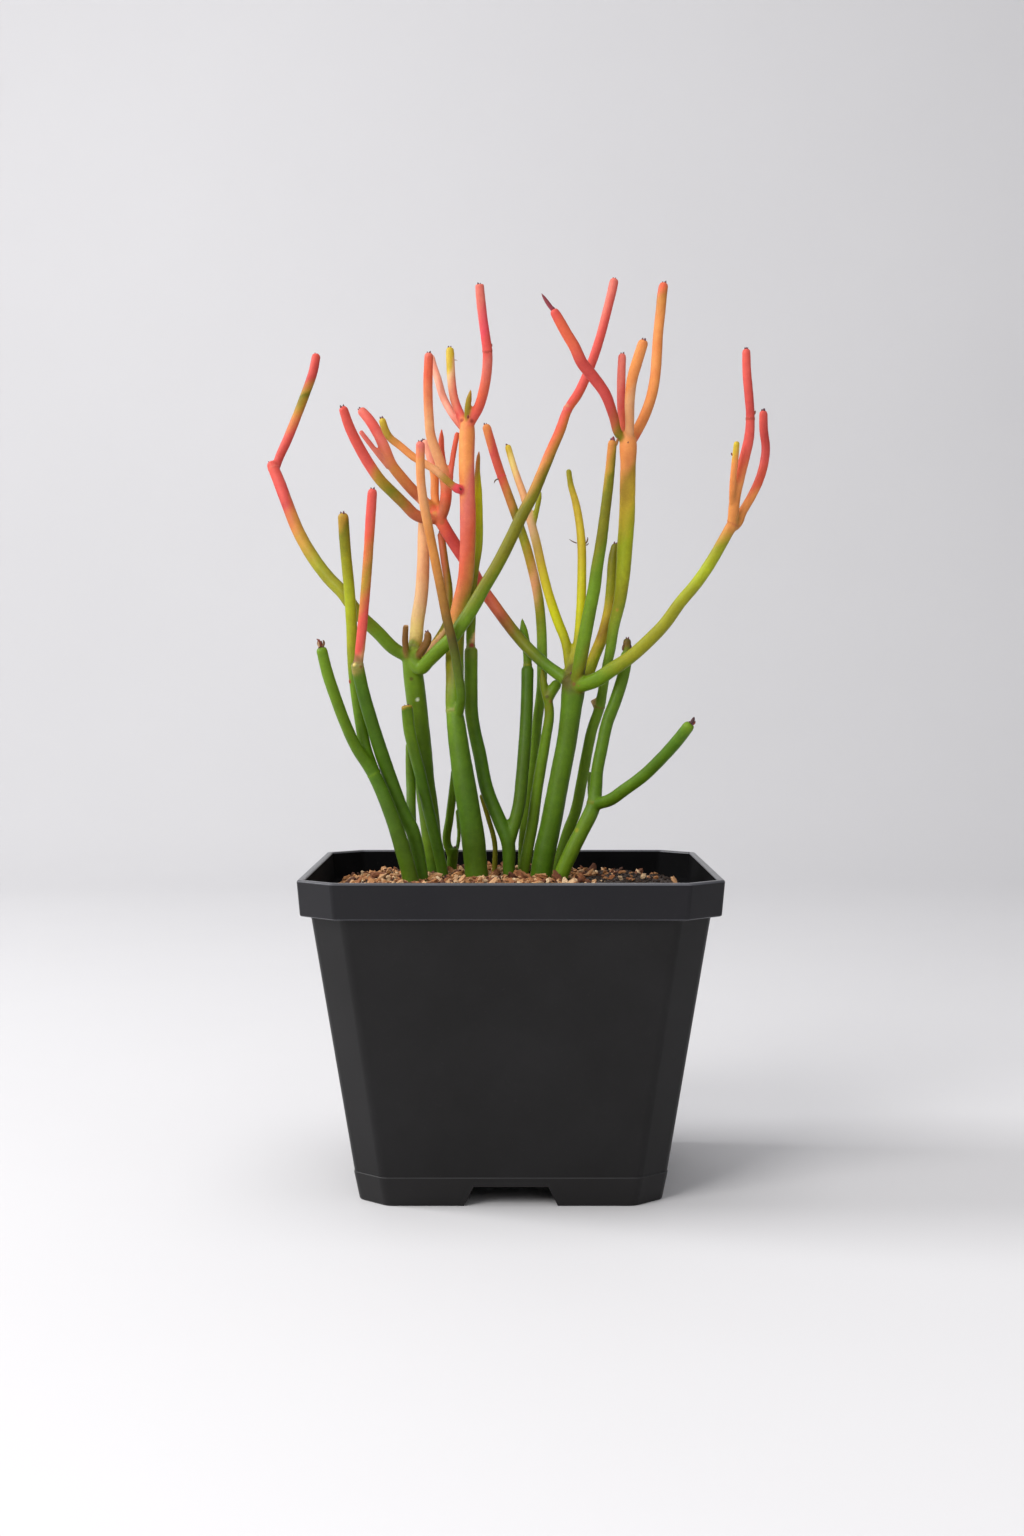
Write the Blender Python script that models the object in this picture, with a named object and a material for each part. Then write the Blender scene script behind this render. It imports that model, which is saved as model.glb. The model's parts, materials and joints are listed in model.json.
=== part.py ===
"""Potted firestick pencil cactus: a clump of thin fleshy stems in a square black nursery pot.

Metres, +Z up. The origin lies on the surface that the pot stands on, under the middle of the pot.
The front of the plant faces -Y.
"""

import math
import random
from collections import namedtuple

import bmesh
import bpy
from mathutils import Matrix, Vector

MM = 0.001

# Pot, outside
POT_HEIGHT = 122 * MM
RIM_WIDTH = 156.5 * MM
RIM_CHAMFER = 13.5 * MM
BAND_HEIGHT = 13.5 * MM
BAND_DRAFT = 1.0 * MM
NECK_WIDTH = 147 * MM
NECK_CHAMFER = 12.5 * MM
BASE_WIDTH = 114 * MM
BASE_CHAMFER = 11 * MM
FOOT_BAND_HEIGHT = 11 * MM
FOOT_BAND_STEP = 0.4 * MM
LIP_ROUND = 0.8 * MM

# Pot, walls and floor
LIP_THICKNESS = 2.6 * MM
WALL = 2.0 * MM
SHOULDER_HEIGHT = 110.5 * MM
CHANNEL_WIDTH_LOW = 35 * MM
CHANNEL_WIDTH_HIGH = 27.5 * MM
CHANNEL_HEIGHT = 7.5 * MM
DRAIN_DIAMETER = 8 * MM
DRAIN_SPACING = 34 * MM

# Potting mix and bark chips
GAP = 0.3 * MM
MIX_EDGE_HEIGHT = 109.5 * MM
MOUND = ((1.0, 0.0), (0.9, 2.4 * MM), (0.7, 4.4 * MM), (0.45, 5.6 * MM), (0.2, 6.1 * MM))
MAT_THICKNESS = 1.9 * MM
CHIP_COUNT = 115
CHIP_LENGTH = (5 * MM, 9 * MM)
CHIP_ASPECT = (0.5, 0.7)
CHIP_THICKNESS = (2.0 * MM, 2.9 * MM)
CHIP_TILT = math.radians(8)
CHIP_LIFT = 0.8 * MM
CHIP_TOP = 0.72
CHIP_TAPER = 0.85
CHIP_REACH = 0.9
CHIP_CORNER = 1.7
STEM_ROOM = 0.55
CHIP_SEED = 7

# Stems
EYE_DISTANCE = 850 * MM
EYE_HEIGHT = 194 * MM
RING_SPACING = 10 * MM
HOLE_TOP = 127 * MM
HOLE_CLEARANCE = 0.45 * MM
POINT_LENGTH = 4.0

Branch = namedtuple("Branch", "end points")

# Each point of a branch: how far right of the middle, how high, how far back, and the stem's width there,
# in millimetres. Right and height are read in the front view, at the scale of the pot's middle, and
# seen_from_front slides the point along its line of sight to its own depth.
STEMS = {
    "stem_left_forked": (
        Branch("round", (
            (-37.5, 92, -17, 6.0), (-40, 118, -18, 6.3), (-42.7, 128, -18, 6.2),
            (-48.2, 144.5, -17.5, 5.6), (-55.3, 160, -17, 5.1), (-60.4, 167.5, -19, 4.6),
            (-65.3, 178, -24, 4.5), (-69, 188, -29, 4.5), (-72.3, 198, -34, 4.5), (-74.7, 208, -38, 4.2),
        )),
        Branch("round", (
            (-53.5, 157.5, -16.5, 4.6), (-57.2, 168, -14.8, 4.6), (-59.9, 183, -13.3, 4.6),
            (-61.9, 199.5, -13, 4.5), (-62.7, 218, -13, 4.4), (-63.5, 230.5, -14, 4.4),
            (-64.9, 245.5, -17, 4.3), (-65.9, 260.5, -22, 4.3),
        )),
    ),
    "stem_left_pink": (
        Branch("round", (
            (-33.5, 92, -10, 5.0), (-35.5, 119, -10, 5.2), (-37.2, 129.5, -10, 5.4),
            (-39.2, 136.5, -10.5, 5.5), (-42.7, 143, -11, 5.5), (-45.9, 151.5, -12, 5.5),
            (-48.6, 159, -13.2, 5.5), (-52.1, 169.5, -16.2, 5.4), (-55.5, 180.5, -19, 5.2),
            (-58.4, 191, -21, 5.1), (-60.8, 202.5, -22, 5.0),
        )),
        Branch("round", (
            (-60.4, 198.5, -22, 3.6), (-59.2, 208.5, -22, 3.8), (-57.8, 222.5, -23, 3.8),
            (-56, 244.5, -27, 3.8), (-54.6, 265, -31, 3.8), (-54.2, 270, -32, 3.6),
        )),
        Branch("round", (
            (-39.2, 137.5, -10, 3.8), (-39.4, 145.5, -3, 3.9), (-39.4, 151.5, 2.5, 3.9),
            (-39.7, 161.5, 6, 3.8), (-39.9, 170.5, 7.2, 3.4),
        )),
    ),
    "stem_left_tall": (
        Branch("round", (
            (-29, 92, 13, 7.8), (-30, 120.5, 13, 8.0), (-31, 129.5, 13, 8.0), (-32.5, 143.5, 13, 8.0),
            (-33.9, 154, 13, 8.0), (-35.1, 167.5, 13, 8.0), (-36.3, 179, 11.5, 8.0), (-37.7, 191, 9, 8.1),
            (-39, 202, 6, 7.6), (-39.4, 207.5, 4.5, 6.6),
        )),
        Branch("round", (
            (-40.4, 204, 5, 5.0), (-46.3, 207.5, 5, 5.3), (-51.7, 213, 4.5, 5.3), (-60.8, 222, 3.5, 5.3),
            (-65.9, 229, 4, 5.3), (-71.8, 235.2, 7, 5.2), (-77.8, 243.2, 11, 5.1),
            (-83.1, 252.5, 15, 5.0), (-88.3, 265.5, 20, 4.9), (-90.7, 272, 23, 4.9),
            (-93.6, 280, 25, 4.6),
        )),
        Branch("round", (
            (-92.9, 277, 25, 3.6), (-91.9, 280, 26, 3.8), (-87.6, 289, 28, 3.9), (-83.5, 299, 31, 3.8),
            (-80.4, 307, 34, 3.8), (-77.4, 315.5, 37, 3.8), (-76, 322.5, 39, 3.6),
        )),
        Branch("round", (
            (-38.8, 205.5, 5, 5.0), (-37.8, 208.5, 7, 5.3), (-36.7, 218.5, 10, 5.5),
            (-35.3, 227.5, 13, 5.4), (-34.5, 238.5, 16, 5.2), (-34.3, 249.5, 19, 4.9),
            (-34.1, 260, 21, 4.6),
        )),
        Branch("round", (
            (-38.8, 202.5, 4, 5.0), (-35.7, 199.5, 2, 5.4), (-32.5, 202.5, -0.5, 5.5),
            (-27.4, 207.5, -5, 5.5), (-23.1, 211.5, -8, 5.5), (-19.6, 216.5, -9.5, 5.5),
            (-15.9, 222, -10, 5.4), (-11.6, 229.5, -10.5, 5.2), (-4.3, 242, -11, 5.0),
            (0, 250.5, -11, 4.9), (4.3, 259.5, -10.5, 4.8), (8.6, 267.5, -9.5, 4.7),
            (12, 275.5, -8.5, 4.5), (15.9, 285, -7, 4.3), (19.2, 292.5, -5, 4.1),
            (22.1, 300.5, -3.5, 3.7), (26.3, 307, -1, 3.9), (29.4, 313.5, 2, 3.8), (32.5, 321.5, 5, 3.8),
            (34.9, 329, 8, 3.7), (37.4, 338.5, 11, 3.7), (39.6, 347.5, 14, 3.7), (40.5, 351.7, 15, 3.6),
        )),
        Branch("round", (
            (-35.7, 202, 6, 3.4), (-31.8, 206.5, 8.5, 3.5), (-29, 210.5, 10.5, 3.5),
            (-25.1, 217.5, 12.5, 3.4), (-24.3, 227.5, 14.5, 3.3), (-26.1, 242, 17, 3.2),
            (-27.6, 253, 19, 3.0),
        )),
        Branch("point", ((-40.8, 204.5, 3, 2.2), (-41.6, 210, 1, 2.1), (-41.6, 217, 0, 1.8))),
        Branch("point", ((-37.6, 203, 4, 3.2), (-35.3, 208.5, 2, 3.1), (-32.9, 214, 1, 2.2))),
    ),
    "stem_left_cut": (
        Branch("flat", (
            (-26.8, 92, 3, 4.5), (-27.4, 121.5, 3, 4.6), (-29.1, 129.5, 3, 4.7), (-32.5, 143.5, 2.5, 4.7),
            (-35.7, 157.5, 1.5, 4.7), (-38, 166.5, 0.5, 4.7), (-40, 175, 0, 4.7), (-41, 185, -1, 4.6),
        )),
    ),
    "stem_back_stub": (
        Branch("flat", ((-23, 92, 22, 4.4), (-23.5, 120.5, 22, 4.5), (-22.7, 129, 21, 4.5))),
        Branch("round", (
            (-23.5, 125.5, 21, 3.3), (-25.3, 131, 21, 3.5), (-24.3, 140, 20, 3.5),
            (-23.1, 149.5, 18, 3.4), (-22, 160, 16, 3.2),
        )),
        Branch("round", ((-22, 126, 22, 1.8), (-20.8, 131, 23.5, 1.7), (-21.2, 144, 25, 1.6))),
    ),
    "stem_middle_crowned": (
        Branch("round", (
            (-12.5, 92, -8, 9.0), (-13.7, 119, -8, 9.2), (-15.1, 134, -8, 9.2), (-16.9, 145.5, -8, 9.0),
            (-19, 158.5, -7, 8.6), (-20.6, 169.5, -5.5, 7.9), (-21.9, 180, -4, 7.2),
            (-22.3, 183, -3.5, 6.8), (-22.2, 187, -3, 7.2), (-22.1, 194.5, -1, 7.2),
            (-22.1, 206.5, 2, 7.2), (-20.8, 220, 3, 6.8), (-19.6, 226, 3, 6.6), (-17.9, 234, 3, 6.3),
            (-17.1, 246, 3, 6.3), (-16.9, 258.5, 3, 6.3), (-17.2, 270, 3.5, 6.3), (-17.4, 281, 4.5, 6.2),
            (-17.2, 291, 5.5, 6.4), (-17.1, 296.2, 6, 5.6),
        )),
        Branch("round", (
            (-20.4, 182, -6, 3.6), (-19.6, 187.5, -9.5, 3.7), (-20.8, 198, -13, 3.7),
            (-23.1, 210.5, -15.5, 3.7), (-25.1, 218.5, -16.5, 3.7), (-27.4, 230, -17, 3.7),
            (-29.8, 242, -17, 3.7), (-32.1, 253.5, -16.5, 3.7), (-34.1, 263.5, -16.5, 3.7),
            (-35.3, 273, -18, 3.6), (-35.5, 288.5, -22, 3.5),
        )),
        Branch("round", (
            (-18.8, 269, 2, 3.0), (-21.2, 270, 1, 3.2), (-25.1, 273, 0, 3.1), (-29.4, 277, 0, 3.1),
            (-33.5, 279.5, 0.5, 3.1), (-37.8, 282, 0.5, 3.1), (-43.3, 286.5, 0, 3.1),
            (-48, 290.5, -1, 3.1), (-49.8, 294.5, -2, 3.0), (-50.6, 297.5, -3, 2.8),
        )),
        Branch("flat", (
            (-16.9, 293.5, 5, 3.8), (-15.5, 296.5, 4.5, 4.1), (-12.7, 301.5, 2, 4.1),
            (-10.6, 308.5, -2, 4.1), (-9.4, 316, -6, 4.0), (-9.2, 323.5, -9, 3.9), (-9.8, 328, -10, 3.8),
            (-11, 336.5, -13, 3.7), (-11.8, 343.5, -15, 3.7), (-12.3, 349.5, -16, 3.5),
        )),
        Branch("round", (
            (-17.6, 293.5, 6, 3.4), (-18.8, 296.5, 7, 3.5), (-22.1, 304.5, 9, 3.5),
            (-23.3, 312.5, 11, 3.5), (-23.7, 319.5, 12, 3.5), (-23.9, 325, 13, 3.3),
        )),
        Branch("round", (
            (-18, 292.5, 7, 3.0), (-20, 295, 9, 3.1), (-23.9, 300.5, 13, 3.1), (-26.7, 306, 16, 3.1),
            (-28.6, 312.5, 18.5, 3.1), (-30.4, 318, 20, 3.0), (-31.4, 322, 21, 2.8),
        )),
        Branch("point", ((-16.9, 295, 5, 2.4), (-17.1, 299.5, 3, 2.5), (-15.7, 309, 0, 2.2))),
    ),
    "stem_back_thin": (
        Branch("round", (
            (-6.3, 92, 14, 2.2), (-6.5, 120.5, 14, 2.2), (-6.3, 129.5, 14, 2.2), (-9.4, 142, 14, 2.1),
            (-11.8, 150, 13.5, 2.0),
        )),
    ),
    "stem_middle_forked": (
        Branch("flat", (
            (-0.5, 92, 0, 4.6), (-0.8, 120.5, 0, 4.9), (-1.2, 131, 0, 5.6), (-4.7, 140, 1.5, 5.5),
            (-9.4, 151.5, 4, 5.5), (-12.5, 166.5, 7, 5.4), (-14.3, 174.5, 8, 5.3), (-15.5, 182, 8.5, 5.3),
            (-15.7, 191, 8.5, 5.4), (-15.7, 207.5, 8.5, 5.3),
        )),
        Branch("point", (
            (-15.7, 204.5, 8.5, 3.4), (-15.9, 210.5, 8.5, 3.7), (-15.7, 217.5, 8, 3.8),
            (-15.3, 228, 8, 3.7), (-14.1, 240, 8, 3.6), (-12.9, 246, 8, 3.3), (-12.7, 259.5, 8.5, 3.5),
            (-12.9, 269, 9, 3.2), (-13.1, 277, 10, 2.2), (-12.5, 285, 11, 1.6),
        )),
        Branch("flat", (
            (-1.2, 129.5, 0, 4.9), (1.2, 138, 1, 5.1), (3.1, 145.5, 2, 5.1), (4.3, 156.5, 3.5, 5.1),
            (5.5, 171, 5.5, 5.1), (6.3, 187, 8, 5.0), (6.5, 200, 10, 4.9),
        )),
        Branch("point", (
            (6.6, 197, 10, 3.4), (6.3, 206.5, 11, 3.6), (5.1, 213.5, 12, 3.4), (4.3, 219.5, 13, 2.6),
        )),
    ),
    "stem_back_scarred": (
        Branch("round", (
            (4.8, 92, 8, 4.5), (5.1, 120.5, 8, 4.6), (6.7, 129, 8, 4.7), (8.6, 139, 8, 4.6),
            (9.8, 148.5, 8, 4.6), (11.8, 161, 8, 4.5), (13.7, 172, 8, 4.3), (15.1, 182, 8, 3.9),
            (14.2, 189.5, 8, 3.8),
        )),
        Branch("round", ((14.1, 186, 8, 3.6), (16.1, 190.5, 8.5, 4.4), (18.8, 194.5, 9.5, 4.2))),
        Branch("point", ((14.1, 186.5, 8, 3.0), (12.9, 193, 8.5, 3.2), (12.2, 200, 9, 2.4))),
    ),
    "stem_back_arching": (
        Branch("round", (
            (4.5, 92, 18, 4.2), (4.7, 121, 18, 4.3), (5.1, 132, 18, 4.3), (6.3, 145.5, 18, 4.3),
            (8, 157.5, 17.5, 4.3), (9.4, 169.5, 17, 4.2), (10.6, 180.5, 16.5, 4.1), (12, 191, 15.5, 4.2),
            (12.2, 202.5, 14.5, 4.2), (11.9, 216, 14.5, 4.1), (10.7, 227.5, 15, 4.0),
            (8.8, 236.5, 16, 3.9), (5.9, 247.5, 17.5, 3.9), (3.1, 256, 19, 3.8), (0.2, 264, 20.5, 3.8),
            (-2.9, 272.5, 22, 3.6), (-5.5, 280, 24, 3.8), (-7.6, 287, 26, 3.8), (-9.9, 295, 28, 3.6),
        )),
    ),
    "stem_right_whorled": (
        Branch("round", (
            (11.3, 92, -6, 8.4), (12, 119.5, -6, 8.6), (13.5, 128, -6, 8.6), (15.3, 136, -6, 8.4),
            (17.4, 147, -6, 8.2), (19.6, 158.5, -5.5, 8.0), (22, 171, -5, 8.0), (23.7, 184, -4.5, 8.4),
            (24.7, 193.5, -4, 9.2), (24.9, 197.5, -4, 7.8),
        )),
        Branch("round", (
            (23.9, 193.5, -3, 4.8), (18.4, 197.5, 0, 5.0), (13.7, 201, 2, 4.8), (8.2, 206, 4, 4.8),
            (3.1, 211.5, 6.5, 4.8), (-2, 218, 9, 4.8), (-7.1, 225, 11.5, 4.8), (-11.4, 231, 13, 4.9),
            (-14.7, 237, 13.5, 4.9), (-20.4, 245.5, 13.5, 5.0), (-25.1, 253, 13, 5.1),
            (-29.6, 261, 13, 4.8),
        )),
        Branch("round", (
            (-28.2, 258.5, 13, 4.2), (-31.8, 258, 12, 4.5), (-37.2, 259.5, 10.5, 4.5),
            (-41.9, 264, 9.5, 4.5), (-46.5, 268.5, 8.5, 4.5), (-51, 273, 7, 4.5), (-55.3, 279, 5, 4.5),
            (-59.4, 286, 2, 4.3), (-63.1, 293.5, -1, 4.1), (-66, 302, -4, 3.6),
        )),
        Branch("round", (
            (-29, 259.5, 14, 4.0), (-30.2, 261, 14.5, 4.4), (-33.7, 264.5, 14.5, 4.5),
            (-39.2, 270, 14, 4.5), (-43.1, 274.5, 13.5, 4.5), (-46.6, 279, 13, 4.4),
            (-49.2, 285, 13, 4.4), (-51.7, 290.5, 13.5, 4.3), (-55.3, 296.5, 14.5, 4.2),
            (-59.2, 301, 16, 3.8),
        )),
        Branch("round", (
            (-47.8, 278, 12.5, 2.2), (-50.2, 281, 12, 2.2), (-54.9, 287, 12, 2.2),
            (-59.2, 292.5, 12, 2.0),
        )),
        Branch("round", (
            (-29, 260, 14, 3.2), (-29.9, 267.5, 17, 3.5), (-30, 275, 19, 3.5), (-31.8, 283, 20, 3.5),
            (-33.9, 289, 20.5, 3.3),
        )),
        Branch("round", (
            (-27.8, 258, 12.5, 4.4), (-26.3, 262, 12.5, 4.7), (-25.5, 271, 12.5, 4.6),
            (-27.4, 279, 12, 4.4), (-29.4, 284.5, 11.5, 4.2), (-31.4, 290.5, 11, 4.0),
            (-32.1, 298, 10, 3.9), (-32.5, 308.5, 8, 3.8), (-32.1, 323, 6, 3.6),
        )),
        Branch("point", (
            (-25.5, 270, 14, 2.4), (-26.1, 277, 17, 2.5), (-27.2, 285, 19, 2.5), (-27.2, 293.5, 20, 2.2),
        )),
        Branch("round", (
            (-25.9, 264, 13, 2.2), (-24.3, 269, 13, 2.3), (-23.5, 277, 12.5, 2.3),
            (-22.3, 285, 12.5, 2.3), (-20.9, 292, 13, 2.1),
        )),
        Branch("round", (
            (23.9, 194.5, -3, 3.8), (23.1, 199.5, -1, 3.9), (21.6, 209.5, 0, 3.9), (18, 219, 1, 3.9),
            (14.7, 229, 1.5, 3.8), (12, 239.5, 1.5, 3.7), (9.8, 249.5, 1.5, 3.6), (7.4, 258.5, 2, 3.4),
            (4.9, 267.5, 3.5, 3.1), (2.9, 273, 5, 2.9), (0.6, 280, 7, 2.8), (-1.4, 287, 9, 2.6),
        )),
        Branch("point", ((8.6, 255, 2, 2.2), (10.2, 262, 1, 2.2), (11.8, 269.5, 2, 1.8))),
        Branch("round", (
            (24.7, 194.5, -3, 3.8), (25.1, 202, -2, 3.9), (25.9, 206.5, -1, 3.9), (27.4, 222.5, 1, 3.8),
            (27.8, 236, 3, 3.7), (27.6, 249.5, 5, 3.5), (26.7, 257.5, 7, 3.3), (25.1, 265.5, 9, 3.0),
            (23.5, 271, 10, 2.6), (22.5, 277.5, 11, 2.2),
        )),
        Branch("round", (
            (25.5, 192.5, -6, 5.0), (27, 201, -9.5, 5.3), (29, 212, -11.5, 5.3), (31, 222.5, -12, 5.2),
            (32.7, 231, -12.5, 5.0), (33.7, 238.5, -13, 4.8), (35.5, 249.5, -14, 4.5),
            (36.6, 258, -15, 4.2), (38, 269.5, -16, 4.0), (39, 279, -17, 3.8), (39.8, 289, -18, 3.5),
        )),
        Branch("round", (
            (27, 192.5, -3, 4.2), (29.8, 196.5, -1, 4.6), (32.9, 204.5, 1, 4.7), (36.1, 212.5, 2, 4.7),
            (38.4, 222, 3, 4.5), (39.6, 234, 3.5, 4.3), (40, 242, 4, 4.0), (41.2, 248.5, 4.5, 3.4),
        )),
        Branch("round", (
            (25.9, 192, -6, 5.4), (28.2, 193, -8, 5.8), (34.5, 195.5, -12, 5.9), (39.6, 199, -15, 5.6),
            (46.3, 203.5, -18, 5.3), (53.7, 210, -21, 5.1), (60, 216.5, -23, 4.9),
            (66.6, 225.5, -25, 4.7), (72.9, 233, -26, 4.6), (79, 242, -27, 4.5), (82.7, 248.5, -28, 4.4),
            (87.4, 257, -29, 4.4),
        )),
        Branch("round", (
            (86.6, 254, -29, 3.8), (87.2, 259.5, -30, 4.2), (87.8, 266, -31, 4.2),
            (89.6, 274.5, -33, 4.2), (91.5, 282, -35, 4.1), (93.3, 290, -37, 3.8), (93.7, 298, -38, 3.4),
            (93.1, 306.5, -39, 3.5), (92.3, 315, -40, 3.4), (92, 324.5, -41, 3.2),
        )),
        Branch("point", (
            (87.2, 263, -31, 2.4), (87.8, 273, -36, 2.4), (88.6, 281, -39.5, 2.3),
            (89.4, 288.5, -42, 1.8),
        )),
        Branch("round", (
            (86.6, 254.5, -28, 3.4), (88.2, 255.5, -28, 3.5), (90.9, 261, -27, 3.5),
            (94.1, 266.5, -26, 3.5), (97.2, 273, -25, 3.5), (99.2, 280, -24, 3.5),
            (99.8, 286, -23.5, 3.4), (99, 292.5, -24, 3.4), (98.8, 300.5, -25, 3.2),
        )),
    ),
    "stem_right_gold": (
        Branch("round", (
            (17, 92, 10, 4.4), (18, 121, 10, 4.5), (19.6, 126, 10, 4.5), (22.7, 136, 10, 4.5),
            (25.1, 142, 9.5, 4.5), (27.8, 154.5, 8.5, 4.5), (30, 166.5, 7.5, 4.4), (31.8, 175, 6, 4.3),
            (34.9, 184.5, 4.5, 4.2), (36.1, 191, 2.5, 3.9), (37.2, 198, 0.5, 3.9), (39, 206.5, -1.5, 4.1),
            (40.4, 216, -3, 4.5), (42.7, 226, -4, 5.0), (44.1, 238, -4.5, 5.8), (44.7, 247.5, -4.5, 6.2),
            (45.5, 259.5, -4.5, 6.3), (45.7, 270, -4.5, 6.3), (45.9, 281, -4.5, 6.3),
            (45.9, 287, -4.5, 7.0), (45.9, 291.5, -4.5, 5.6),
        )),
        Branch("flat", ((34.4, 183.5, 5, 3.2), (32.6, 187.5, 5, 3.2))),
        Branch("round", (
            (46.3, 287, -4, 4.0), (47.4, 289, -3, 4.2), (51.7, 297, 0, 4.3), (54.7, 305, 4, 4.3),
            (56.3, 313, 8, 4.3), (57, 321.5, 11, 4.2), (57.5, 330, 14, 4.1), (58.4, 338.5, 17, 4.1),
            (59.2, 346.5, 19, 4.0), (59.8, 350, 20, 3.8),
        )),
        Branch("point", (
            (44.7, 288.5, -5, 3.4), (42.3, 291, -6, 3.5), (40, 298.5, -9, 3.8), (36.8, 307, -11.5, 4.4),
            (32.9, 314, -12.5, 4.6), (28.6, 319.5, -13.5, 4.6), (25.9, 325.5, -14, 4.5),
            (22.5, 331, -15, 4.3), (19, 337, -16, 4.0), (17, 340, -16.5, 2.8), (14.8, 342.5, -17, 1.7),
            (12, 345.5, -18, 1.4),
        )),
        Branch("round", (
            (45.5, 288, -3, 3.2), (44.7, 292, -1, 3.5), (43.3, 300.5, 2, 3.5), (43.1, 310.5, 5, 3.5),
            (43.5, 322.5, 8, 3.3),
        )),
        Branch("round", (
            (46.3, 289, -5, 3.4), (46.5, 295, -8, 3.6), (46.5, 304.5, -13, 4.0), (47.4, 312.5, -16, 4.3),
            (49.4, 319.5, -18, 4.3), (52.1, 328, -20, 4.0),
        )),
    ),
    "stem_right_forked": (
        Branch("round", (
            (16.5, 92, -14, 5.6), (20, 118.5, -14, 5.8), (23.9, 127.5, -14, 5.9),
            (28.4, 136.5, -13.5, 5.9), (32.5, 145.5, -12.5, 5.8), (33.4, 152, -11.5, 5.2),
            (33.9, 158.5, -11, 4.9), (35.7, 168, -10, 4.9), (38, 178.5, -9, 4.9), (40.8, 186, -8.5, 4.9),
            (42.5, 191, -8, 4.9), (44.1, 196.5, -8, 4.8), (45.1, 202.5, -7.5, 4.8),
            (45.8, 208.5, -7, 4.4),
        )),
        Branch("round", (
            (31.8, 144.5, -12.5, 4.6), (34.1, 146, -14, 4.7), (38.8, 147.6, -18, 4.8),
            (44.9, 151.8, -23, 4.8), (52.4, 157.4, -28, 4.8), (59.1, 163.9, -33, 4.7),
            (65.4, 170.9, -38, 4.7), (70.9, 178, -42, 4.5),
        )),
        Branch("round", ((31.8, 145.5, -11, 1.8), (31, 150, -8.5, 1.7), (31, 159, -7, 1.5))),
    ),
}

STEM_COLOURS = {
    "stem_left_forked": (0.09, 0.24, 0.06),
    "stem_left_pink": (0.12, 0.24, 0.05),
    "stem_left_tall": (0.30, 0.27, 0.06),
    "stem_left_cut": (0.09, 0.24, 0.05),
    "stem_back_stub": (0.09, 0.26, 0.09),
    "stem_middle_crowned": (0.42, 0.22, 0.06),
    "stem_back_thin": (0.14, 0.22, 0.04),
    "stem_middle_forked": (0.13, 0.28, 0.06),
    "stem_back_scarred": (0.09, 0.24, 0.06),
    "stem_back_arching": (0.24, 0.24, 0.06),
    "stem_right_whorled": (0.34, 0.24, 0.05),
    "stem_right_gold": (0.40, 0.28, 0.05),
    "stem_right_forked": (0.11, 0.29, 0.05),
}


def clear_scene():
    for obj in list(bpy.data.objects):
        bpy.data.objects.remove(obj, do_unlink=True)


def make_material(name, colour, roughness, metallic=0.0):
    material = bpy.data.materials.new(name)
    material.use_nodes = True
    shader = material.node_tree.nodes["Principled BSDF"]
    shader.inputs["Base Color"].default_value = (*colour, 1.0)
    shader.inputs["Roughness"].default_value = roughness
    shader.inputs["Metallic"].default_value = metallic
    return material


def add_object(name, mesh, material=None):
    obj = bpy.data.objects.new(name, mesh)
    bpy.context.scene.collection.objects.link(obj)
    if material:
        mesh.materials.append(material)
    return obj


def mesh_from_rings(name, rings, apex=None):
    """A closed mesh skinned over rings of equal size, with a flat cap at each open end or a pointed tip."""
    mesh_builder = bmesh.new()
    rows = [[mesh_builder.verts.new(point) for point in ring] for ring in rings]
    count = len(rows[0])
    for lower, upper in zip(rows, rows[1:]):
        for i in range(count):
            j = (i + 1) % count
            mesh_builder.faces.new((lower[i], lower[j], upper[j], upper[i]))
    mesh_builder.faces.new(tuple(reversed(rows[0])))
    if apex is None:
        mesh_builder.faces.new(tuple(rows[-1]))
    else:
        tip = mesh_builder.verts.new(apex)
        for i in range(count):
            mesh_builder.faces.new((rows[-1][i], rows[-1][(i + 1) % count], tip))
    bmesh.ops.recalc_face_normals(mesh_builder, faces=mesh_builder.faces)
    mesh = bpy.data.meshes.new(name)
    mesh_builder.to_mesh(mesh)
    mesh_builder.free()
    return mesh


def shade(mesh, sharp_angle):
    mesh.shade_smooth()
    mesh.set_sharp_from_angle(angle=sharp_angle)


def apply_boolean(obj, others, operation):
    """Joins or cuts obj with all the others in one Boolean, and removes them."""
    helpers = bpy.data.collections.new(obj.name + "_helpers")
    bpy.context.scene.collection.children.link(helpers)
    for other in others:
        bpy.context.scene.collection.objects.unlink(other)
        helpers.objects.link(other)
    modifier = obj.modifiers.new("boolean", "BOOLEAN")
    modifier.operation = operation
    modifier.operand_type = "COLLECTION"
    modifier.collection = helpers
    modifier.solver = "EXACT"
    bpy.context.view_layer.update()
    graph = bpy.context.evaluated_depsgraph_get()
    result = bpy.data.meshes.new_from_object(obj.evaluated_get(graph))
    obj.modifiers.clear()
    obj.data = result
    for other in others:
        bpy.data.objects.remove(other, do_unlink=True)
    bpy.data.collections.remove(helpers)


def square_ring(width, chamfer, height, rounding=0.0):
    """A level square with chamfered corners, three points on each of its eight soft corners."""
    half = width / 2
    short = half - chamfer
    corners = [
        (short, -half), (half, -short), (half, short), (short, half),
        (-short, half), (-half, short), (-half, -short), (-short, -half),
    ]
    corners = [Vector((x, y, height)) for x, y in corners]
    reach = max(rounding, 1.5 * MM) * math.tan(math.radians(22.5))
    ring = []
    for i, corner in enumerate(corners):
        before = (corners[i - 1] - corner).normalized() * reach
        after = (corners[(i + 1) % 8] - corner).normalized() * reach
        ring += [corner + before, corner + (before + after) / 4, corner + after]
    return ring


def body_width(height, top=NECK_WIDTH, bottom=BASE_WIDTH):
    """The width of the tapered body at a height, between the base and the underside of the rim band."""
    return bottom + (top - bottom) * height / (POT_HEIGHT - BAND_HEIGHT)


def body_chamfer(height):
    return body_width(height, NECK_CHAMFER, BASE_CHAMFER)


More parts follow.
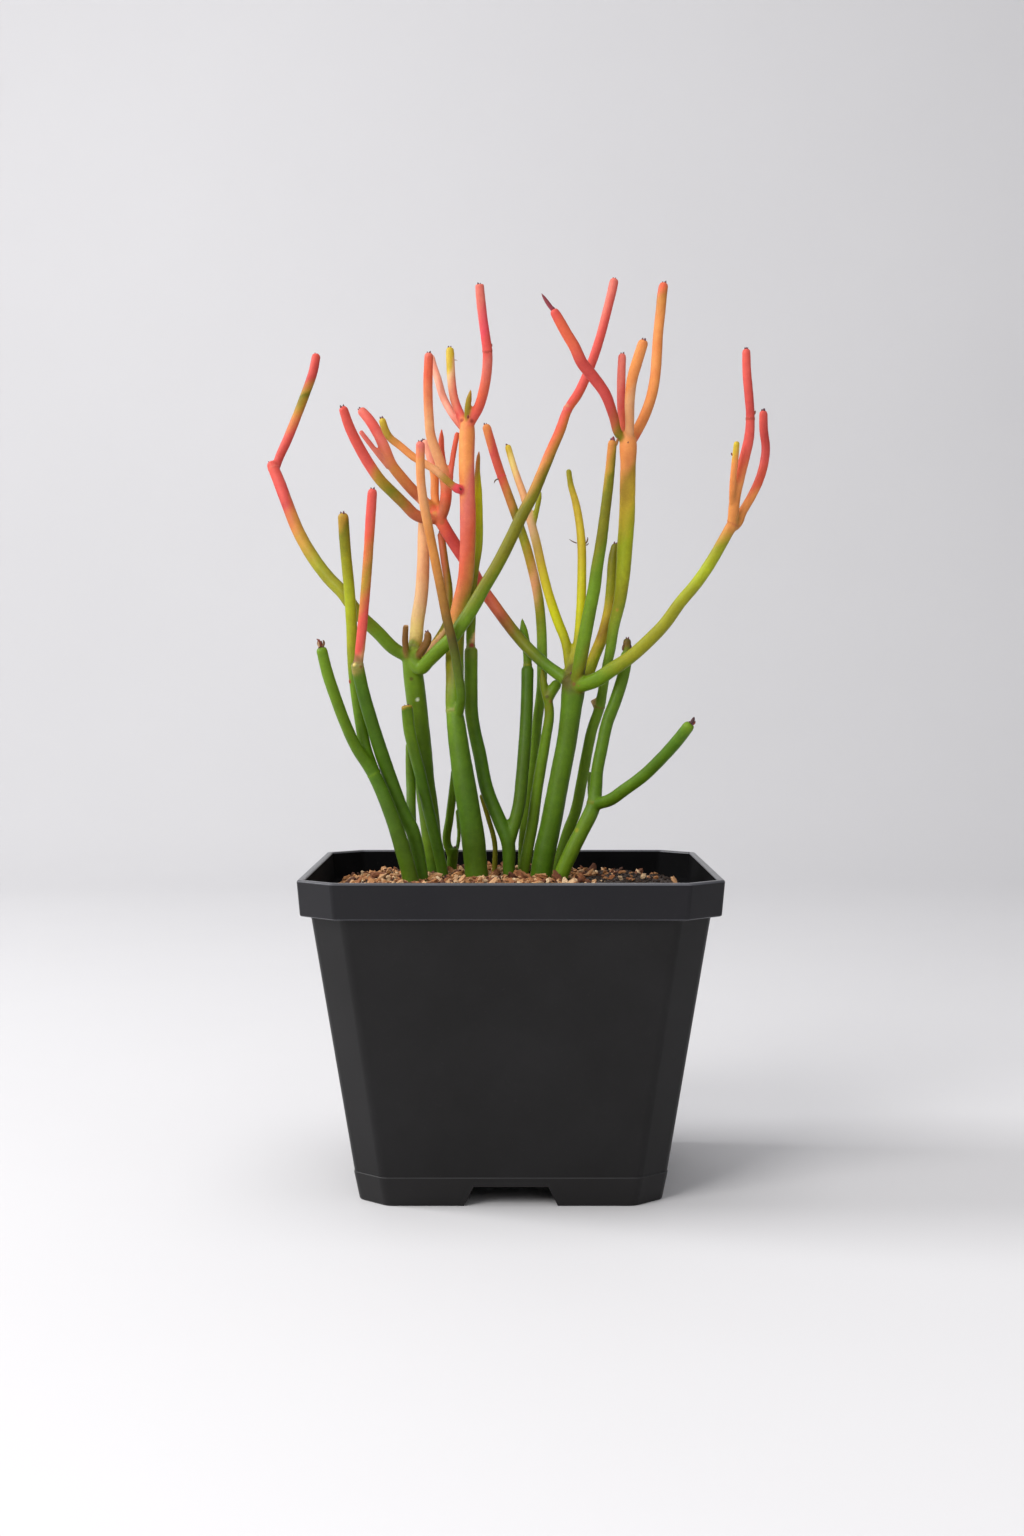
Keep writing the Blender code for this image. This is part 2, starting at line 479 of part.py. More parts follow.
def inner_ring(height, clearance=0.0):
    """The inside of the body wall at a height, drawn in by a clearance."""
    inset = WALL + clearance
    narrower = 2 * inset * math.tan(math.radians(22.5))
    chamfer = body_chamfer(height) - narrower * (1 - 1 / math.sqrt(2))
    return square_ring(body_width(height) - 2 * inset, chamfer, height, 4 * MM)


def channel_prism(name, grow, length, along_x):
    """One arm of the drainage channel under the floor: a low trapezoid, grown on its sides and top."""
    low = CHANNEL_WIDTH_LOW / 2 + grow
    high = CHANNEL_WIDTH_HIGH / 2 + grow
    bottom = 0.0 if grow else -5 * MM
    slope = (low - high) / CHANNEL_HEIGHT
    top = CHANNEL_HEIGHT + grow
    low -= slope * bottom
    section = [(-low, bottom), (low, bottom), (high, top), (-high, top)]
    if along_x:
        rings = [[Vector((x, y, z)) for y, z in section] for x in (-length, length)]
    else:
        rings = [[Vector((-y, x, z)) for y, z in section] for x in (-length, length)]
    return add_object(name, mesh_from_rings(name, rings))


def drain_hole(name, x, y):
    radius = DRAIN_DIAMETER / 2
    turns = [2 * math.pi * i / 12 for i in range(12)]
    rings = [
        [Vector((x + radius * math.cos(a), y + radius * math.sin(a), z)) for a in turns]
        for z in (CHANNEL_HEIGHT - 2 * MM, CHANNEL_HEIGHT + 2 * WALL)
    ]
    return add_object(name, mesh_from_rings(name, rings))


def build_pot():
    """The moulded pot: a shell with a rim band and a foot band, over a raised cross channel."""
    band_bottom = POT_HEIGHT - BAND_HEIGHT
    foot_top = FOOT_BAND_HEIGHT
    lip_inside = RIM_WIDTH - 2 * LIP_THICKNESS
    foot_width = body_width(foot_top) + 2 * FOOT_BAND_STEP
    outer = [
        square_ring(BASE_WIDTH, BASE_CHAMFER, 0.0, 5 * MM),
        square_ring(foot_width, body_chamfer(foot_top), foot_top, 5 * MM),
        square_ring(body_width(foot_top), body_chamfer(foot_top), foot_top + 0.3 * MM, 5 * MM),
        square_ring(NECK_WIDTH, NECK_CHAMFER, band_bottom, 5 * MM),
        square_ring(RIM_WIDTH - 2 * BAND_DRAFT, RIM_CHAMFER, band_bottom, 2 * MM),
        square_ring(RIM_WIDTH, RIM_CHAMFER, POT_HEIGHT - LIP_ROUND, 2 * MM),
        square_ring(RIM_WIDTH - LIP_ROUND, RIM_CHAMFER, POT_HEIGHT, 2 * MM),
    ]
    inner = [
        square_ring(lip_inside + LIP_ROUND, RIM_CHAMFER - 1.5 * MM, POT_HEIGHT, 2 * MM),
        square_ring(lip_inside - 2 * BAND_DRAFT, RIM_CHAMFER - 1.5 * MM, SHOULDER_HEIGHT, 2 * MM),
        inner_ring(band_bottom),
        inner_ring(WALL),
    ]
    material = make_material("black_moulded_plastic", (0.016, 0.016, 0.018), 0.5)
    pot = add_object("pot", mesh_from_rings("pot", outer + inner), material)
    roof_length = BASE_WIDTH / 2 - 0.5 * MM
    roofs = [channel_prism(f"roof_{side}", WALL, roof_length, side == "x") for side in "xy"]
    apply_boolean(pot, roofs, "UNION")
    cutters = [channel_prism(f"channel_{side}", 0.0, BASE_WIDTH, side == "x") for side in "xy"]
    places = [(0, 0), (1, 0), (-1, 0), (0, 1), (0, -1)]
    cutters += [
        drain_hole(f"drain_{i}", x * DRAIN_SPACING, y * DRAIN_SPACING) for i, (x, y) in enumerate(places)
    ]
    apply_boolean(pot, cutters, "DIFFERENCE")
    shade(pot.data, math.radians(28))
    return pot


def mound_ring(share, rise):
    """A ring on the mounded top of the mix, a share of the way out from the middle."""
    edge = inner_ring(MIX_EDGE_HEIGHT, GAP)
    return [Vector((p.x * share, p.y * share, MIX_EDGE_HEIGHT + rise)) for p in edge]


def build_mix(stem_cutters):
    """The potting mix: it fills the pot, mounds up in the middle and holds each stem's foot in a hole."""
    rings = [inner_ring(WALL + GAP, GAP)] + [mound_ring(share, rise) for share, rise in MOUND]
    material = make_material("dark_potting_mix", (0.012, 0.008, 0.006), 0.95)
    mix = add_object("potting_mix", mesh_from_rings("potting_mix", rings), material)
    grow = WALL + GAP
    roofs = [channel_prism(f"mix_roof_{side}", grow, BASE_WIDTH, side == "x") for side in "xy"]
    apply_boolean(mix, roofs + stem_cutters, "DIFFERENCE")
    shade(mix.data, math.radians(35))
    return mix


def mix_reach():
    """How far the mix reaches along X, and along X plus Y at its cut corners."""
    edge = inner_ring(MIX_EDGE_HEIGHT, GAP)
    return max(p.x for p in edge), max(p.x + p.y for p in edge)


def mound_height(x, y):
    """The height of the mound's surface over a point, from the rings it is skinned on."""
    half, corner = mix_reach()
    share = max(abs(x) / half, abs(y) / half, (abs(x) + abs(y)) / corner)
    for (outer, low), (inner, high) in zip(MOUND, MOUND[1:]):
        if share > inner:
            along = min(1.0, (outer - share) / (outer - inner))
            return MIX_EDGE_HEIGHT + low + (high - low) * along
    return MIX_EDGE_HEIGHT + MOUND[-1][1]


def chip(name, centre, size, turn):
    """One chip of bark: a flat block with knocked corners."""
    mesh_builder = bmesh.new()
    bmesh.ops.create_cube(mesh_builder, size=1.0)
    for vert in mesh_builder.verts:
        shrink = CHIP_TOP if vert.co.z > 0 else 1.0
        vert.co.x *= shrink * (1.0 if vert.co.y > 0 else CHIP_TAPER)
        vert.co.y *= shrink
    bmesh.ops.transform(
        mesh_builder,
        matrix=Matrix.Translation(centre) @ turn.to_4x4() @ Matrix.Diagonal((*size, 1.0)),
        verts=mesh_builder.verts,
    )
    mesh = bpy.data.meshes.new(name)
    mesh_builder.to_mesh(mesh)
    mesh_builder.free()
    return add_object(name, mesh)


def scatter_chips(feet):
    """Chips strewn over the mat, clear of the stems' feet."""
    draw = random.Random(CHIP_SEED)
    reach = CHIP_REACH * mix_reach()[0]
    chips = []
    while len(chips) < CHIP_COUNT:
        x = draw.uniform(-reach, reach)
        y = draw.uniform(-reach, reach)
        length = draw.uniform(*CHIP_LENGTH)
        corner_cut = abs(x) + abs(y) > CHIP_CORNER * reach
        crowded = any(
            math.hypot(x - fx, y - fy) < radius + STEM_ROOM * length for fx, fy, radius in feet
        )
        if corner_cut or crowded:
            continue
        size = (length, length * draw.uniform(*CHIP_ASPECT), draw.uniform(*CHIP_THICKNESS))
        tilts = [draw.uniform(-CHIP_TILT, CHIP_TILT) for _ in range(2)]
        turn = Matrix.Rotation(draw.uniform(0, math.pi), 3, "Z")
        turn = turn @ Matrix.Rotation(tilts[0], 3, "X") @ Matrix.Rotation(tilts[1], 3, "Y")
        top = mound_height(x, y) + GAP + MAT_THICKNESS
        chips.append(chip(f"chip_{len(chips)}", Vector((x, y, top + CHIP_LIFT)), size, turn))
    return chips


def build_chips(feet, stem_cutters):
    """The top dressing: a thin mat of chips on the mound, with larger chips standing out of it."""
    rises = [rise for _, rise in MOUND[1:]]
    shares = [share for share, _ in MOUND[1:]]
    below = [mound_ring(share, rise + GAP) for share, rise in zip(shares, rises)]
    thick = [0.6 * MAT_THICKNESS] + [MAT_THICKNESS] * (len(rises) - 1)
    above = [mound_ring(share, rise + GAP + t) for share, rise, t in zip(shares, rises, thick)]
    material = make_material("bark_chip", (0.42, 0.21, 0.10), 0.85)
    mat = add_object("bark_chips", mesh_from_rings("bark_chips", below[::-1] + above), material)
    apply_boolean(mat, scatter_chips(feet), "UNION")
    apply_boolean(mat, stem_cutters, "DIFFERENCE")
    shade(mat.data, math.radians(25))
    return mat


def seen_from_front(right, height, back):
    """The point at a depth that the front view shows at this place on the pot's middle plane."""
    scale = (EYE_DISTANCE + back) / EYE_DISTANCE
    return Vector((right * scale, back, EYE_HEIGHT + (height - EYE_HEIGHT) * scale))


def place_points(points):
    """Each point's place and radius, in metres, as one vector of four numbers."""
    placed = []
    for right, height, back, width in points:
        place = seen_from_front(right * MM, height * MM, back * MM)
        placed.append(Vector((*place, width * MM / 2)))
    return placed


def smooth_line(knots, step=1.5 * MM):
    """A smooth line through the knots, as closely spaced points that carry the radius with them."""
    spans = [max((b - a).xyz.length, 1e-6) for a, b in zip(knots, knots[1:])]
    slopes = [(knots[1] - knots[0]) / spans[0]]
    for i in range(1, len(knots) - 1):
        into = (knots[i] - knots[i - 1]) / spans[i - 1]
        out = (knots[i + 1] - knots[i]) / spans[i]
        slopes.append((into * spans[i] + out * spans[i - 1]) / (spans[i - 1] + spans[i]))
    slopes.append((knots[-1] - knots[-2]) / spans[-1])
    line = [knots[0]]
    for i, span in enumerate(spans):
        steps = max(2, round(span / step))
        for k in range(1, steps + 1):
            t = k / steps
            line.append(
                knots[i] * (2 * t**3 - 3 * t**2 + 1)
                + slopes[i] * span * (t**3 - 2 * t**2 + t)
                + knots[i + 1] * (3 * t**2 - 2 * t**3)
                + slopes[i + 1] * span * (t**3 - t**2)
            )
    return line


def end_share(end, distance, radius):
    """How much of its full radius a stem has at a distance from its end."""
    if end == "round":
        inside = min(1.0, distance / radius)
        return math.sqrt(1 - (1 - inside) ** 2)
    if end == "point":
        return min(1.0, distance / (POINT_LENGTH * radius)) ** 0.6
    return 1.0


def stations(total, end, radius):
    """How far along a stem its rings stand: evenly, with a few close together round the tip."""
    tip = {"round": radius, "point": POINT_LENGTH * radius, "flat": 0.0}[end]
    body = total - tip
    count = max(2, math.ceil(body / RING_SPACING))
    places = [body * i / count for i in range(count + 1)]
    if end == "round":
        places += [total - 0.45 * radius, total - 0.12 * radius]
    if end == "point":
        places += [total - 0.4 * tip, total - 0.1 * tip]
    return places


def along_line(line, places):
    """The points of a line at given distances along it."""
    found = []
    walked = 0.0
    index = 0
    for place in places:
        while index < len(line) - 2 and walked + (line[index + 1] - line[index]).xyz.length < place:
            walked += (line[index + 1] - line[index]).xyz.length
            index += 1
        span = (line[index + 1] - line[index]).xyz.length
        found.append(line[index].lerp(line[index + 1], min(1.0, (place - walked) / span)))
    return found


def sides_for(line):
    widest = max(point.w for point in line)
    if widest > 2.4 * MM:
        return 8
    return 7 if widest > 1.5 * MM else 5


def sweep(name, line, places, end, sides, grow=0.0):
    """A closed round tube along a line, with its end shaped; grow makes the hole that it stands in."""
    total = sum((b - a).xyz.length for a, b in zip(line, line[1:]))
    knots = along_line(line, places)
    across = Vector((1, 0, 0))
    rings = []
    for i, knot in enumerate(knots):
        ahead = knots[min(i + 1, len(knots) - 1)].xyz - knots[max(i - 1, 0)].xyz
        ahead.normalize()
        across = (across - ahead * across.dot(ahead)).normalized()
        other = ahead.cross(across)
        radius = knot.w * end_share(end, max(total - places[i], 0.0), knots[-1].w) + grow
        rings.append([
            knot.xyz + across * radius * math.cos(a) + other * radius * math.sin(a)
            for a in (2 * math.pi * j / sides for j in range(sides))
        ])
    apex = None if end == "flat" else line[-1].xyz
    return add_object(name, mesh_from_rings(name, rings, apex))


def build_branch(name, branch):
    line = smooth_line(place_points(branch.points))
    total = sum((b - a).xyz.length for a, b in zip(line, line[1:]))
    return sweep(name, line, stations(total, branch.end, line[-1].w), branch.end, sides_for(line))


def build_stem(name, branches):
    """One rooted stem with all its branches joined into a single body."""
    stem = build_branch(name, branches[0])
    stem.data.materials.append(make_material(name + "_skin", STEM_COLOURS[name], 0.4))
    others = [build_branch(f"{name}_branch_{i}", branch) for i, branch in enumerate(branches[1:])]
    if others:
        apply_boolean(stem, others, "UNION")
    shade(stem.data, math.radians(50))
    return stem


def stem_cutter(name, branches):
    """The hole that a stem's foot stands in, a gap wider than the foot all round."""
    whole = smooth_line(place_points(branches[0].points))
    line = [point for point in whole if point.z < HOLE_TOP]
    line[0] = line[0] + (line[0] - line[1]).normalized() * GAP
    total = sum((b - a).xyz.length for a, b in zip(line, line[1:]))
    places = [total * i / 5 for i in range(6)]
    return sweep(name, line, places, "flat", sides_for(whole), HOLE_CLEARANCE)


def stem_cutters(label):
    return [stem_cutter(f"{label}_{name}", branches) for name, branches in STEMS.items()]


def foot_of(branches):
    """Where a stem leaves the chips, and its radius there."""
    knots = place_points(branches[0].points)
    return knots[1].x, knots[1].y, knots[1].w


def main():
    clear_scene()
    build_pot()
    build_mix(stem_cutters("mix_hole"))
    feet = [foot_of(branches) for branches in STEMS.values()]
    build_chips(feet, stem_cutters("mat_hole"))
    for name, branches in STEMS.items():
        build_stem(name, branches)


main()
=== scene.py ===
"""Potted firestick pencil cactus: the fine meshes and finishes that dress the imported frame.

Metres, +Z up, the front of the plant towards -Y. The routes and marks of the stems are in millimetres, read
in the front view at the scale of the pot's middle, and FrontView slides each one to its own depth.
"""

import json
import logging
import math
import random
from dataclasses import dataclass
from enum import Enum

import bmesh
import bpy
import numpy as np
from bpy.types import Material, Mesh, NodeSocket, Object
from mathutils import Matrix, Vector, noise


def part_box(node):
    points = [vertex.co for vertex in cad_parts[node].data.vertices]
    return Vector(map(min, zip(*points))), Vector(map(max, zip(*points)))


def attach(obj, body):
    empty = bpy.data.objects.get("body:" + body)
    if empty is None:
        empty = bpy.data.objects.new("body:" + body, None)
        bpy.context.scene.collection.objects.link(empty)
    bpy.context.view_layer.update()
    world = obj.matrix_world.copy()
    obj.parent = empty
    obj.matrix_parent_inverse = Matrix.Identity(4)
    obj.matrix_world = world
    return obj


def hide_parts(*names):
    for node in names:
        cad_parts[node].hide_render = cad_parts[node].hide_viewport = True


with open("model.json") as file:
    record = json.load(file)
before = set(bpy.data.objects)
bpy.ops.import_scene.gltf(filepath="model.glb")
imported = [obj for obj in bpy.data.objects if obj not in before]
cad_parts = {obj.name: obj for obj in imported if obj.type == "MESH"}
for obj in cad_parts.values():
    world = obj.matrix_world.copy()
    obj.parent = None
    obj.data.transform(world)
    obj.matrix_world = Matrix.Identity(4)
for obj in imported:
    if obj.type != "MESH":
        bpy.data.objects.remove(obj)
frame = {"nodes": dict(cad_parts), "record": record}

MM = 0.001
LOG = logging.getLogger("firestick")


class Tone(Enum):
    """Skin and bark colours of the plant as judged, in sRGB hex."""

    FOOT_OLIVE = "46600C"
    SHADE_GREEN = "44660E"
    DEEP_GREEN = "50700F"
    LEAF_GREEN = "628216"
    BRIGHT_GREEN = "74962A"
    SHADE_OLIVE = "504A1A"
    OLIVE = "706E12"
    LIGHT_OLIVE = "8C8C1A"
    YELLOW_GREEN = "9AA51C"
    LIME = "BEBC0E"
    GOLD = "C4A832"
    OCHRE = "A8842C"
    PALE_OLIVE = "918C56"
    CREAM = "E2C878"
    BUFF = "DDB080"
    PEACH = "DB9C6C"
    ORANGE = "DE8A4C"
    BURNT_ORANGE = "C07C3C"
    SALMON = "D66C60"
    CORAL = "D65E42"
    RED = "D4544C"
    ROSE = "E04A58"
    CRIMSON = "BC4440"
    PINK = "D3896A"
    PALE_PINK = "EFA18A"
    RUSSET = "AE5A38"
    RED_BROWN = "963C2C"
    BARK_BROWN = "7A5428"
    MAGENTA = "A8324A"
    DARK_BUD = "4A2230"
    PALE_SPECK = "E6EEDC"

    @property
    def linear(self) -> tuple[float, float, float]:
        """The colour in Blender's linear space."""
        return linear_colour(self.value)


class Tip(Enum):
    """How a branch ends."""

    ROUND = "round"
    POINT = "point"
    FLAT = "flat"


class Slot(Enum):
    """The record's material slots."""

    POT = "pot_plastic"
    MIX = "potting_mix"
    BARK = "bark_chips"
    GREEN = "green_stem"
    SUN = "sun_coloured_stem"


class MarkKind(Enum):
    """What a mark on a stem is: a scar all round a joint, a small spot, or a raised nub."""

    RING = "ring"
    SPOT = "spot"
    NUB = "nub"


def linear_colour(code: str) -> tuple[float, float, float]:
    """Turns six sRGB hex digits into linear red, green and blue, from 0 to 1."""
    parts = [int(code[i:i + 2], 16) / 255 for i in (0, 2, 4)]
    return tuple(v / 12.92 if v <= 0.04045 else ((v + 0.055) / 1.055) ** 2.4 for v in parts)


@dataclass(frozen=True)
class FrontView:
    """The eye that the routes are read from."""

    distance: float = 0.85
    height: float = 0.194

    def place(self, right: float, height: float, back: float) -> Vector:
        """The point at a depth that the eye sees at this place on the pot's middle plane.

        Args:
            right: Millimetres right of the middle.
            height: Millimetres above the surface.
            back: Millimetres behind the middle.

        Returns:
            The point in metres.
        """
        depth = back * MM
        scale = (self.distance + depth) / self.distance
        return Vector((right * MM * scale, depth, self.height + (height * MM - self.height) * scale))


EYE = FrontView()


@dataclass(frozen=True)
class Branch:
    """One branch of a stem.

    points holds (right, height, back, width) in millimetres. tones lists shares of the length with the tone
    there. lean says how many millimetres further the colours have run on the side that faces the sun; that
    side also faces the key light, so the shift is partly the plant's own sun colouring and partly painted
    light.
    """

    points: tuple[tuple[float, float, float, float], ...]
    tones: str
    lean: float = 0
    tip: Tip = Tip.ROUND

    def stops(self) -> list[tuple[float, Tone]]:
        """The tones as (share of the length, tone), from the root to the tip."""
        pairs = (stop.split() for stop in self.tones.split(", "))
        return [(float(share), Tone[name.upper()]) for share, name in pairs]


@dataclass(frozen=True)
class StemRoute:
    """A rooted stem: its CAD node's name and its branches, the rooted one first."""

    name: str
    branches: tuple[Branch, ...]


@dataclass(frozen=True)
class Mark:
    """A scar, spot or nub, at a place in the front view in millimetres, with its size and tone."""

    kind: MarkKind
    right: float
    height: float
    size: float
    tone: Tone


STEMS: tuple[StemRoute, ...] = (
    StemRoute("stem_left_forked", (
        Branch((
            (-37.5, 92, -17, 6), (-40, 118, -18, 6.3), (-42.7, 128, -18, 6.2), (-48.2, 144.5, -17.5, 5.6),
            (-55.3, 160, -17, 5.1), (-60.4, 167.5, -19, 4.6), (-65.3, 178, -24, 4.5), (-69, 188, -29, 4.5),
            (-72.3, 198, -34, 4.5), (-74.7, 208, -38, 4.2),
        ), "0.21 foot_olive, 0.53 shade_green, 0.6 deep_green, 0.84 leaf_green, 1 leaf_green"),
        Branch((
            (-53.5, 157.5, -16.5, 4.6), (-57.2, 168, -14.8, 4.6), (-59.9, 183, -13.3, 4.6),
            (-61.9, 199.5, -13, 4.5), (-62.7, 218, -13, 4.4), (-63.5, 230.5, -14, 4.4),
            (-64.9, 245.5, -17, 4.3), (-65.9, 260.5, -22, 4.3),
        ), "0 shade_green, 0.2 deep_green, 0.4 leaf_green, 0.52 light_olive, 0.66 yellow_green, "
           "0.8 light_olive, 0.93 olive, 0.97 ochre, 0.99 ochre", 4),
    )),
    StemRoute("stem_left_pink", (
        Branch((
            (-33.5, 92, -10, 5), (-35.5, 119, -10, 5.2), (-37.2, 129.5, -10, 5.4), (-39.2, 136.5, -10.5, 5.5),
            (-42.7, 143, -11, 5.5), (-45.9, 151.5, -12, 5.5), (-48.6, 159, -13.2, 5.5),
            (-52.1, 169.5, -16.2, 5.4), (-55.5, 180.5, -19, 5.2), (-58.4, 191, -21, 5.1),
            (-60.8, 202.5, -22, 5),
        ), "0.23 shade_green, 0.6 shade_green, 0.9 shade_green, 0.98 deep_green, 0.99 shade_olive"),
        Branch((
            (-60.4, 198.5, -22, 3.6), (-59.2, 208.5, -22, 3.8), (-57.8, 222.5, -23, 3.8),
            (-56, 244.5, -27, 3.8), (-54.6, 265, -31, 3.8), (-54.2, 270, -32, 3.6),
        ), "0 peach, 0.08 peach, 0.16 red, 0.34 red, 0.45 burnt_orange, 0.53 ochre, 0.62 burnt_orange, "
           "0.78 coral, 0.88 red, 0.99 red", 6),
        Branch((
            (-39.2, 137.5, -10, 3.8), (-39.4, 145.5, -3, 3.9), (-39.4, 151.5, 2.5, 3.9),
            (-39.7, 161.5, 6, 3.8), (-39.9, 170.5, 7.2, 3.4),
        ), "0 shade_green, 0.97 leaf_green", 4),
    )),
    StemRoute("stem_left_tall", (
        Branch((
            (-29, 92, 13, 7.8), (-30, 120.5, 13, 8), (-31, 129.5, 13, 8), (-32.5, 143.5, 13, 8),
            (-33.9, 154, 13, 8), (-35.1, 167.5, 13, 8), (-36.3, 179, 11.5, 8), (-37.7, 191, 9, 8.1),
            (-39, 202, 6, 7.6), (-39.4, 207.5, 4.5, 6.6),
        ), "0.24 shade_green, 0.33 leaf_green, 0.56 deep_green, 0.78 leaf_green, 0.97 leaf_green, "
           "1 bright_green"),
        Branch((
            (-40.4, 204, 5, 5), (-46.3, 207.5, 5, 5.3), (-51.7, 213, 4.5, 5.3), (-60.8, 222, 3.5, 5.3),
            (-65.9, 229, 4, 5.3), (-71.8, 235.2, 7, 5.2), (-77.8, 243.2, 11, 5.1), (-83.1, 252.5, 15, 5),
            (-88.3, 265.5, 20, 4.9), (-90.7, 272, 23, 4.9), (-94.2, 280.6, 25, 4.5),
        ), "0 leaf_green, 0.16 leaf_green, 0.28 olive, 0.4 light_olive, 0.54 light_olive, 0.66 ochre, "
           "0.74 burnt_orange, 0.84 crimson, 1 red", 7),
        Branch((
            (-92.3, 277, 25, 3), (-91.3, 280.6, 26, 3.5), (-87.6, 289, 28, 3.9), (-83.5, 299, 31, 3.8),
            (-80.4, 307, 34, 3.8), (-77.4, 315.5, 37, 3.8), (-76, 322.5, 39, 3.6),
        ), "0 crimson, 0.32 red, 0.46 burnt_orange, 0.56 ochre, 0.66 olive, 0.71 ochre, 0.79 crimson, "
           "0.99 red", 3),
        Branch((
            (-38.8, 205.5, 5, 5), (-37.8, 208.5, 7, 5.3), (-36.7, 218.5, 10, 5.5), (-35.3, 227.5, 13, 5.4),
            (-34.5, 238.5, 16, 5.2), (-34.3, 249.5, 19, 4.9), (-34.1, 260, 21, 4.6),
        ), "0 light_olive, 0.06 ochre, 0.15 cream, 0.35 buff, 0.54 peach, 0.9 peach"),
        Branch((
            (-38.8, 202.5, 4, 5), (-35.7, 199.5, 2, 5.4), (-32.5, 202.5, -0.5, 5.5), (-27.4, 207.5, -5, 5.5),
            (-23.1, 211.5, -8, 5.5), (-19.6, 216.5, -9.5, 5.5), (-15.9, 222, -10, 5.4),
            (-11.6, 229.5, -10.5, 5.2), (-4.3, 242, -11, 5), (0, 250.5, -11, 4.9), (4.3, 259.5, -10.5, 4.8),
            (8.6, 267.5, -9.5, 4.7), (12, 275.5, -8.5, 4.5), (15.9, 285, -7, 4.3), (19.2, 292.5, -5, 4.1),
            (22.1, 300.5, -3.5, 3.7), (26.3, 307, -1, 3.9), (29.4, 313.5, 2, 3.8), (32.5, 321.5, 5, 3.8),
            (34.9, 329, 8, 3.7), (37.4, 338.5, 11, 3.7), (39.6, 347.5, 14, 3.7), (40.5, 351.7, 15, 3.6),
        ), "0 leaf_green, 0.2 leaf_green, 0.34 olive, 0.5 olive, 0.6 burnt_orange, 0.68 coral, 0.74 red, "
           "0.91 red, 1 salmon", 14),
        Branch((
            (-35.7, 202, 6, 3.4), (-31.8, 206.5, 8.5, 3.5), (-29, 210.5, 10.5, 3.5),
            (-25.1, 217.5, 12.5, 3.4), (-24.3, 227.5, 14.5, 3.3), (-26.1, 242, 17, 3.2), (-27.6, 253, 19, 3),
        ), "0.16 gold, 0.25 buff, 0.39 buff, 0.43 cream, 0.44 ochre, 0.5 olive, 0.62 olive, 0.99 russet", 16),
        Branch((
            (-40.8, 204.5, 3, 2.6), (-41.6, 210, 1, 2.6), (-41.3, 216.6, 0, 2.3),
        ), "0 bark_brown, 0.9 bark_brown, 1 buff", 0, Tip.FLAT),
        Branch((
            (-37.6, 203, 4, 3), (-34.4, 207.5, 2, 3.4), (-32.6, 211.2, 1.4, 3.2), (-33, 214, 1.4, 2.6),
        ), "0 bark_brown, 0.96 bark_brown"),
    )),
    StemRoute("stem_left_cut", (
        Branch((
            (-26.8, 92, 3, 4.5), (-27.4, 121.5, 3, 4.6), (-29.1, 129.5, 3, 4.7), (-32.5, 143.5, 2.5, 4.7),
            (-35.7, 157.5, 1.5, 4.7), (-38, 166.5, 0.5, 4.7), (-40, 175, 0, 4.7), (-41, 185, -1, 4.6),
        ), "0.28 shade_green, 0.7 shade_green, 0.92 leaf_green, 0.97 deep_green, 0.99 ochre", 0, Tip.FLAT),
    )),
    StemRoute("stem_back_stub", (
        Branch((
            (-23, 92, 22, 4.4), (-23.5, 120.5, 22, 4.5), (-22.7, 129, 21, 4.5),
        ), "0 deep_green, 0.98 deep_green", 0, Tip.FLAT),
        Branch((
            (-23.5, 125.5, 21, 3.3), (-25.3, 131, 21, 3.5), (-24.3, 140, 20, 3.5), (-23.1, 149.5, 18, 3.4),
            (-22, 160, 16, 3.2),
        ), "0.02 leaf_green, 0.96 deep_green"),
        Branch((
            (-22, 126, 22, 1.8), (-20.8, 131, 23.5, 1.7), (-21.2, 144, 25, 1.6),
        ), "0.01 leaf_green, 0.95 leaf_green"),
    )),
    StemRoute("stem_middle_crowned", (
        Branch((
            (-12.5, 92, -8, 9), (-13.7, 119, -8, 9.2), (-15.1, 134, -8, 9.2), (-16.9, 145.5, -8, 9),
            (-19, 158.5, -7, 8.6), (-20.6, 169.5, -5.5, 7.9), (-21.9, 180, -4, 7.2), (-22.3, 183, -3.5, 6.8),
            (-22.2, 187, -3, 7.2), (-22.1, 194.5, -1, 7.2), (-22.1, 206.5, 2, 7.2), (-20.8, 220, 3, 6.8),
            (-19.6, 226, 3, 6.6), (-17.9, 234, 3, 6.3), (-17.1, 246, 3, 6.3), (-16.9, 258.5, 3, 6.3),
            (-17.2, 270, 3.5, 6.3), (-17.4, 281, 4.5, 6.2), (-17.2, 291, 5.5, 6.4), (-17.1, 296.2, 6, 5.6),
        ), "0.13 foot_olive, 0.3 shade_green, 0.44 deep_green, 0.5 leaf_green, 0.57 olive, 0.62 light_olive, "
           "0.68 burnt_orange, 0.78 coral, 0.88 salmon, 0.94 orange, 1 orange", 16),
        Branch((
            (-20.4, 182, -6, 3.6), (-19.6, 187.5, -9.5, 3.7), (-20.8, 198, -13, 3.7),
            (-23.1, 210.5, -15.5, 3.7), (-25.1, 218.5, -16.5, 3.7), (-27.4, 230, -17, 3.7),
            (-29.8, 242, -17, 3.7), (-32.1, 253.5, -16.5, 3.7), (-34.1, 263.5, -16.5, 3.7),
            (-35.3, 273, -18, 3.6), (-35.5, 288.5, -22, 3.5),
        ), "0 deep_green, 0.08 deep_green, 0.29 shade_olive, 0.58 burnt_orange, 0.66 burnt_orange, "
           "0.83 peach, 0.93 orange, 0.99 salmon"),
        Branch((
            (-18.8, 269, 2, 3), (-21.2, 270, 1, 3.2), (-25.1, 273, 0, 3.1), (-29.4, 277, 0, 3.1),
            (-33.5, 279.5, 0.5, 3.1), (-37.8, 282, 0.5, 3.1), (-43.3, 286.5, 0, 3.1), (-48, 290.5, -1, 3.1),
            (-49.8, 294.5, -2, 3), (-50.6, 297.5, -3, 2.8),
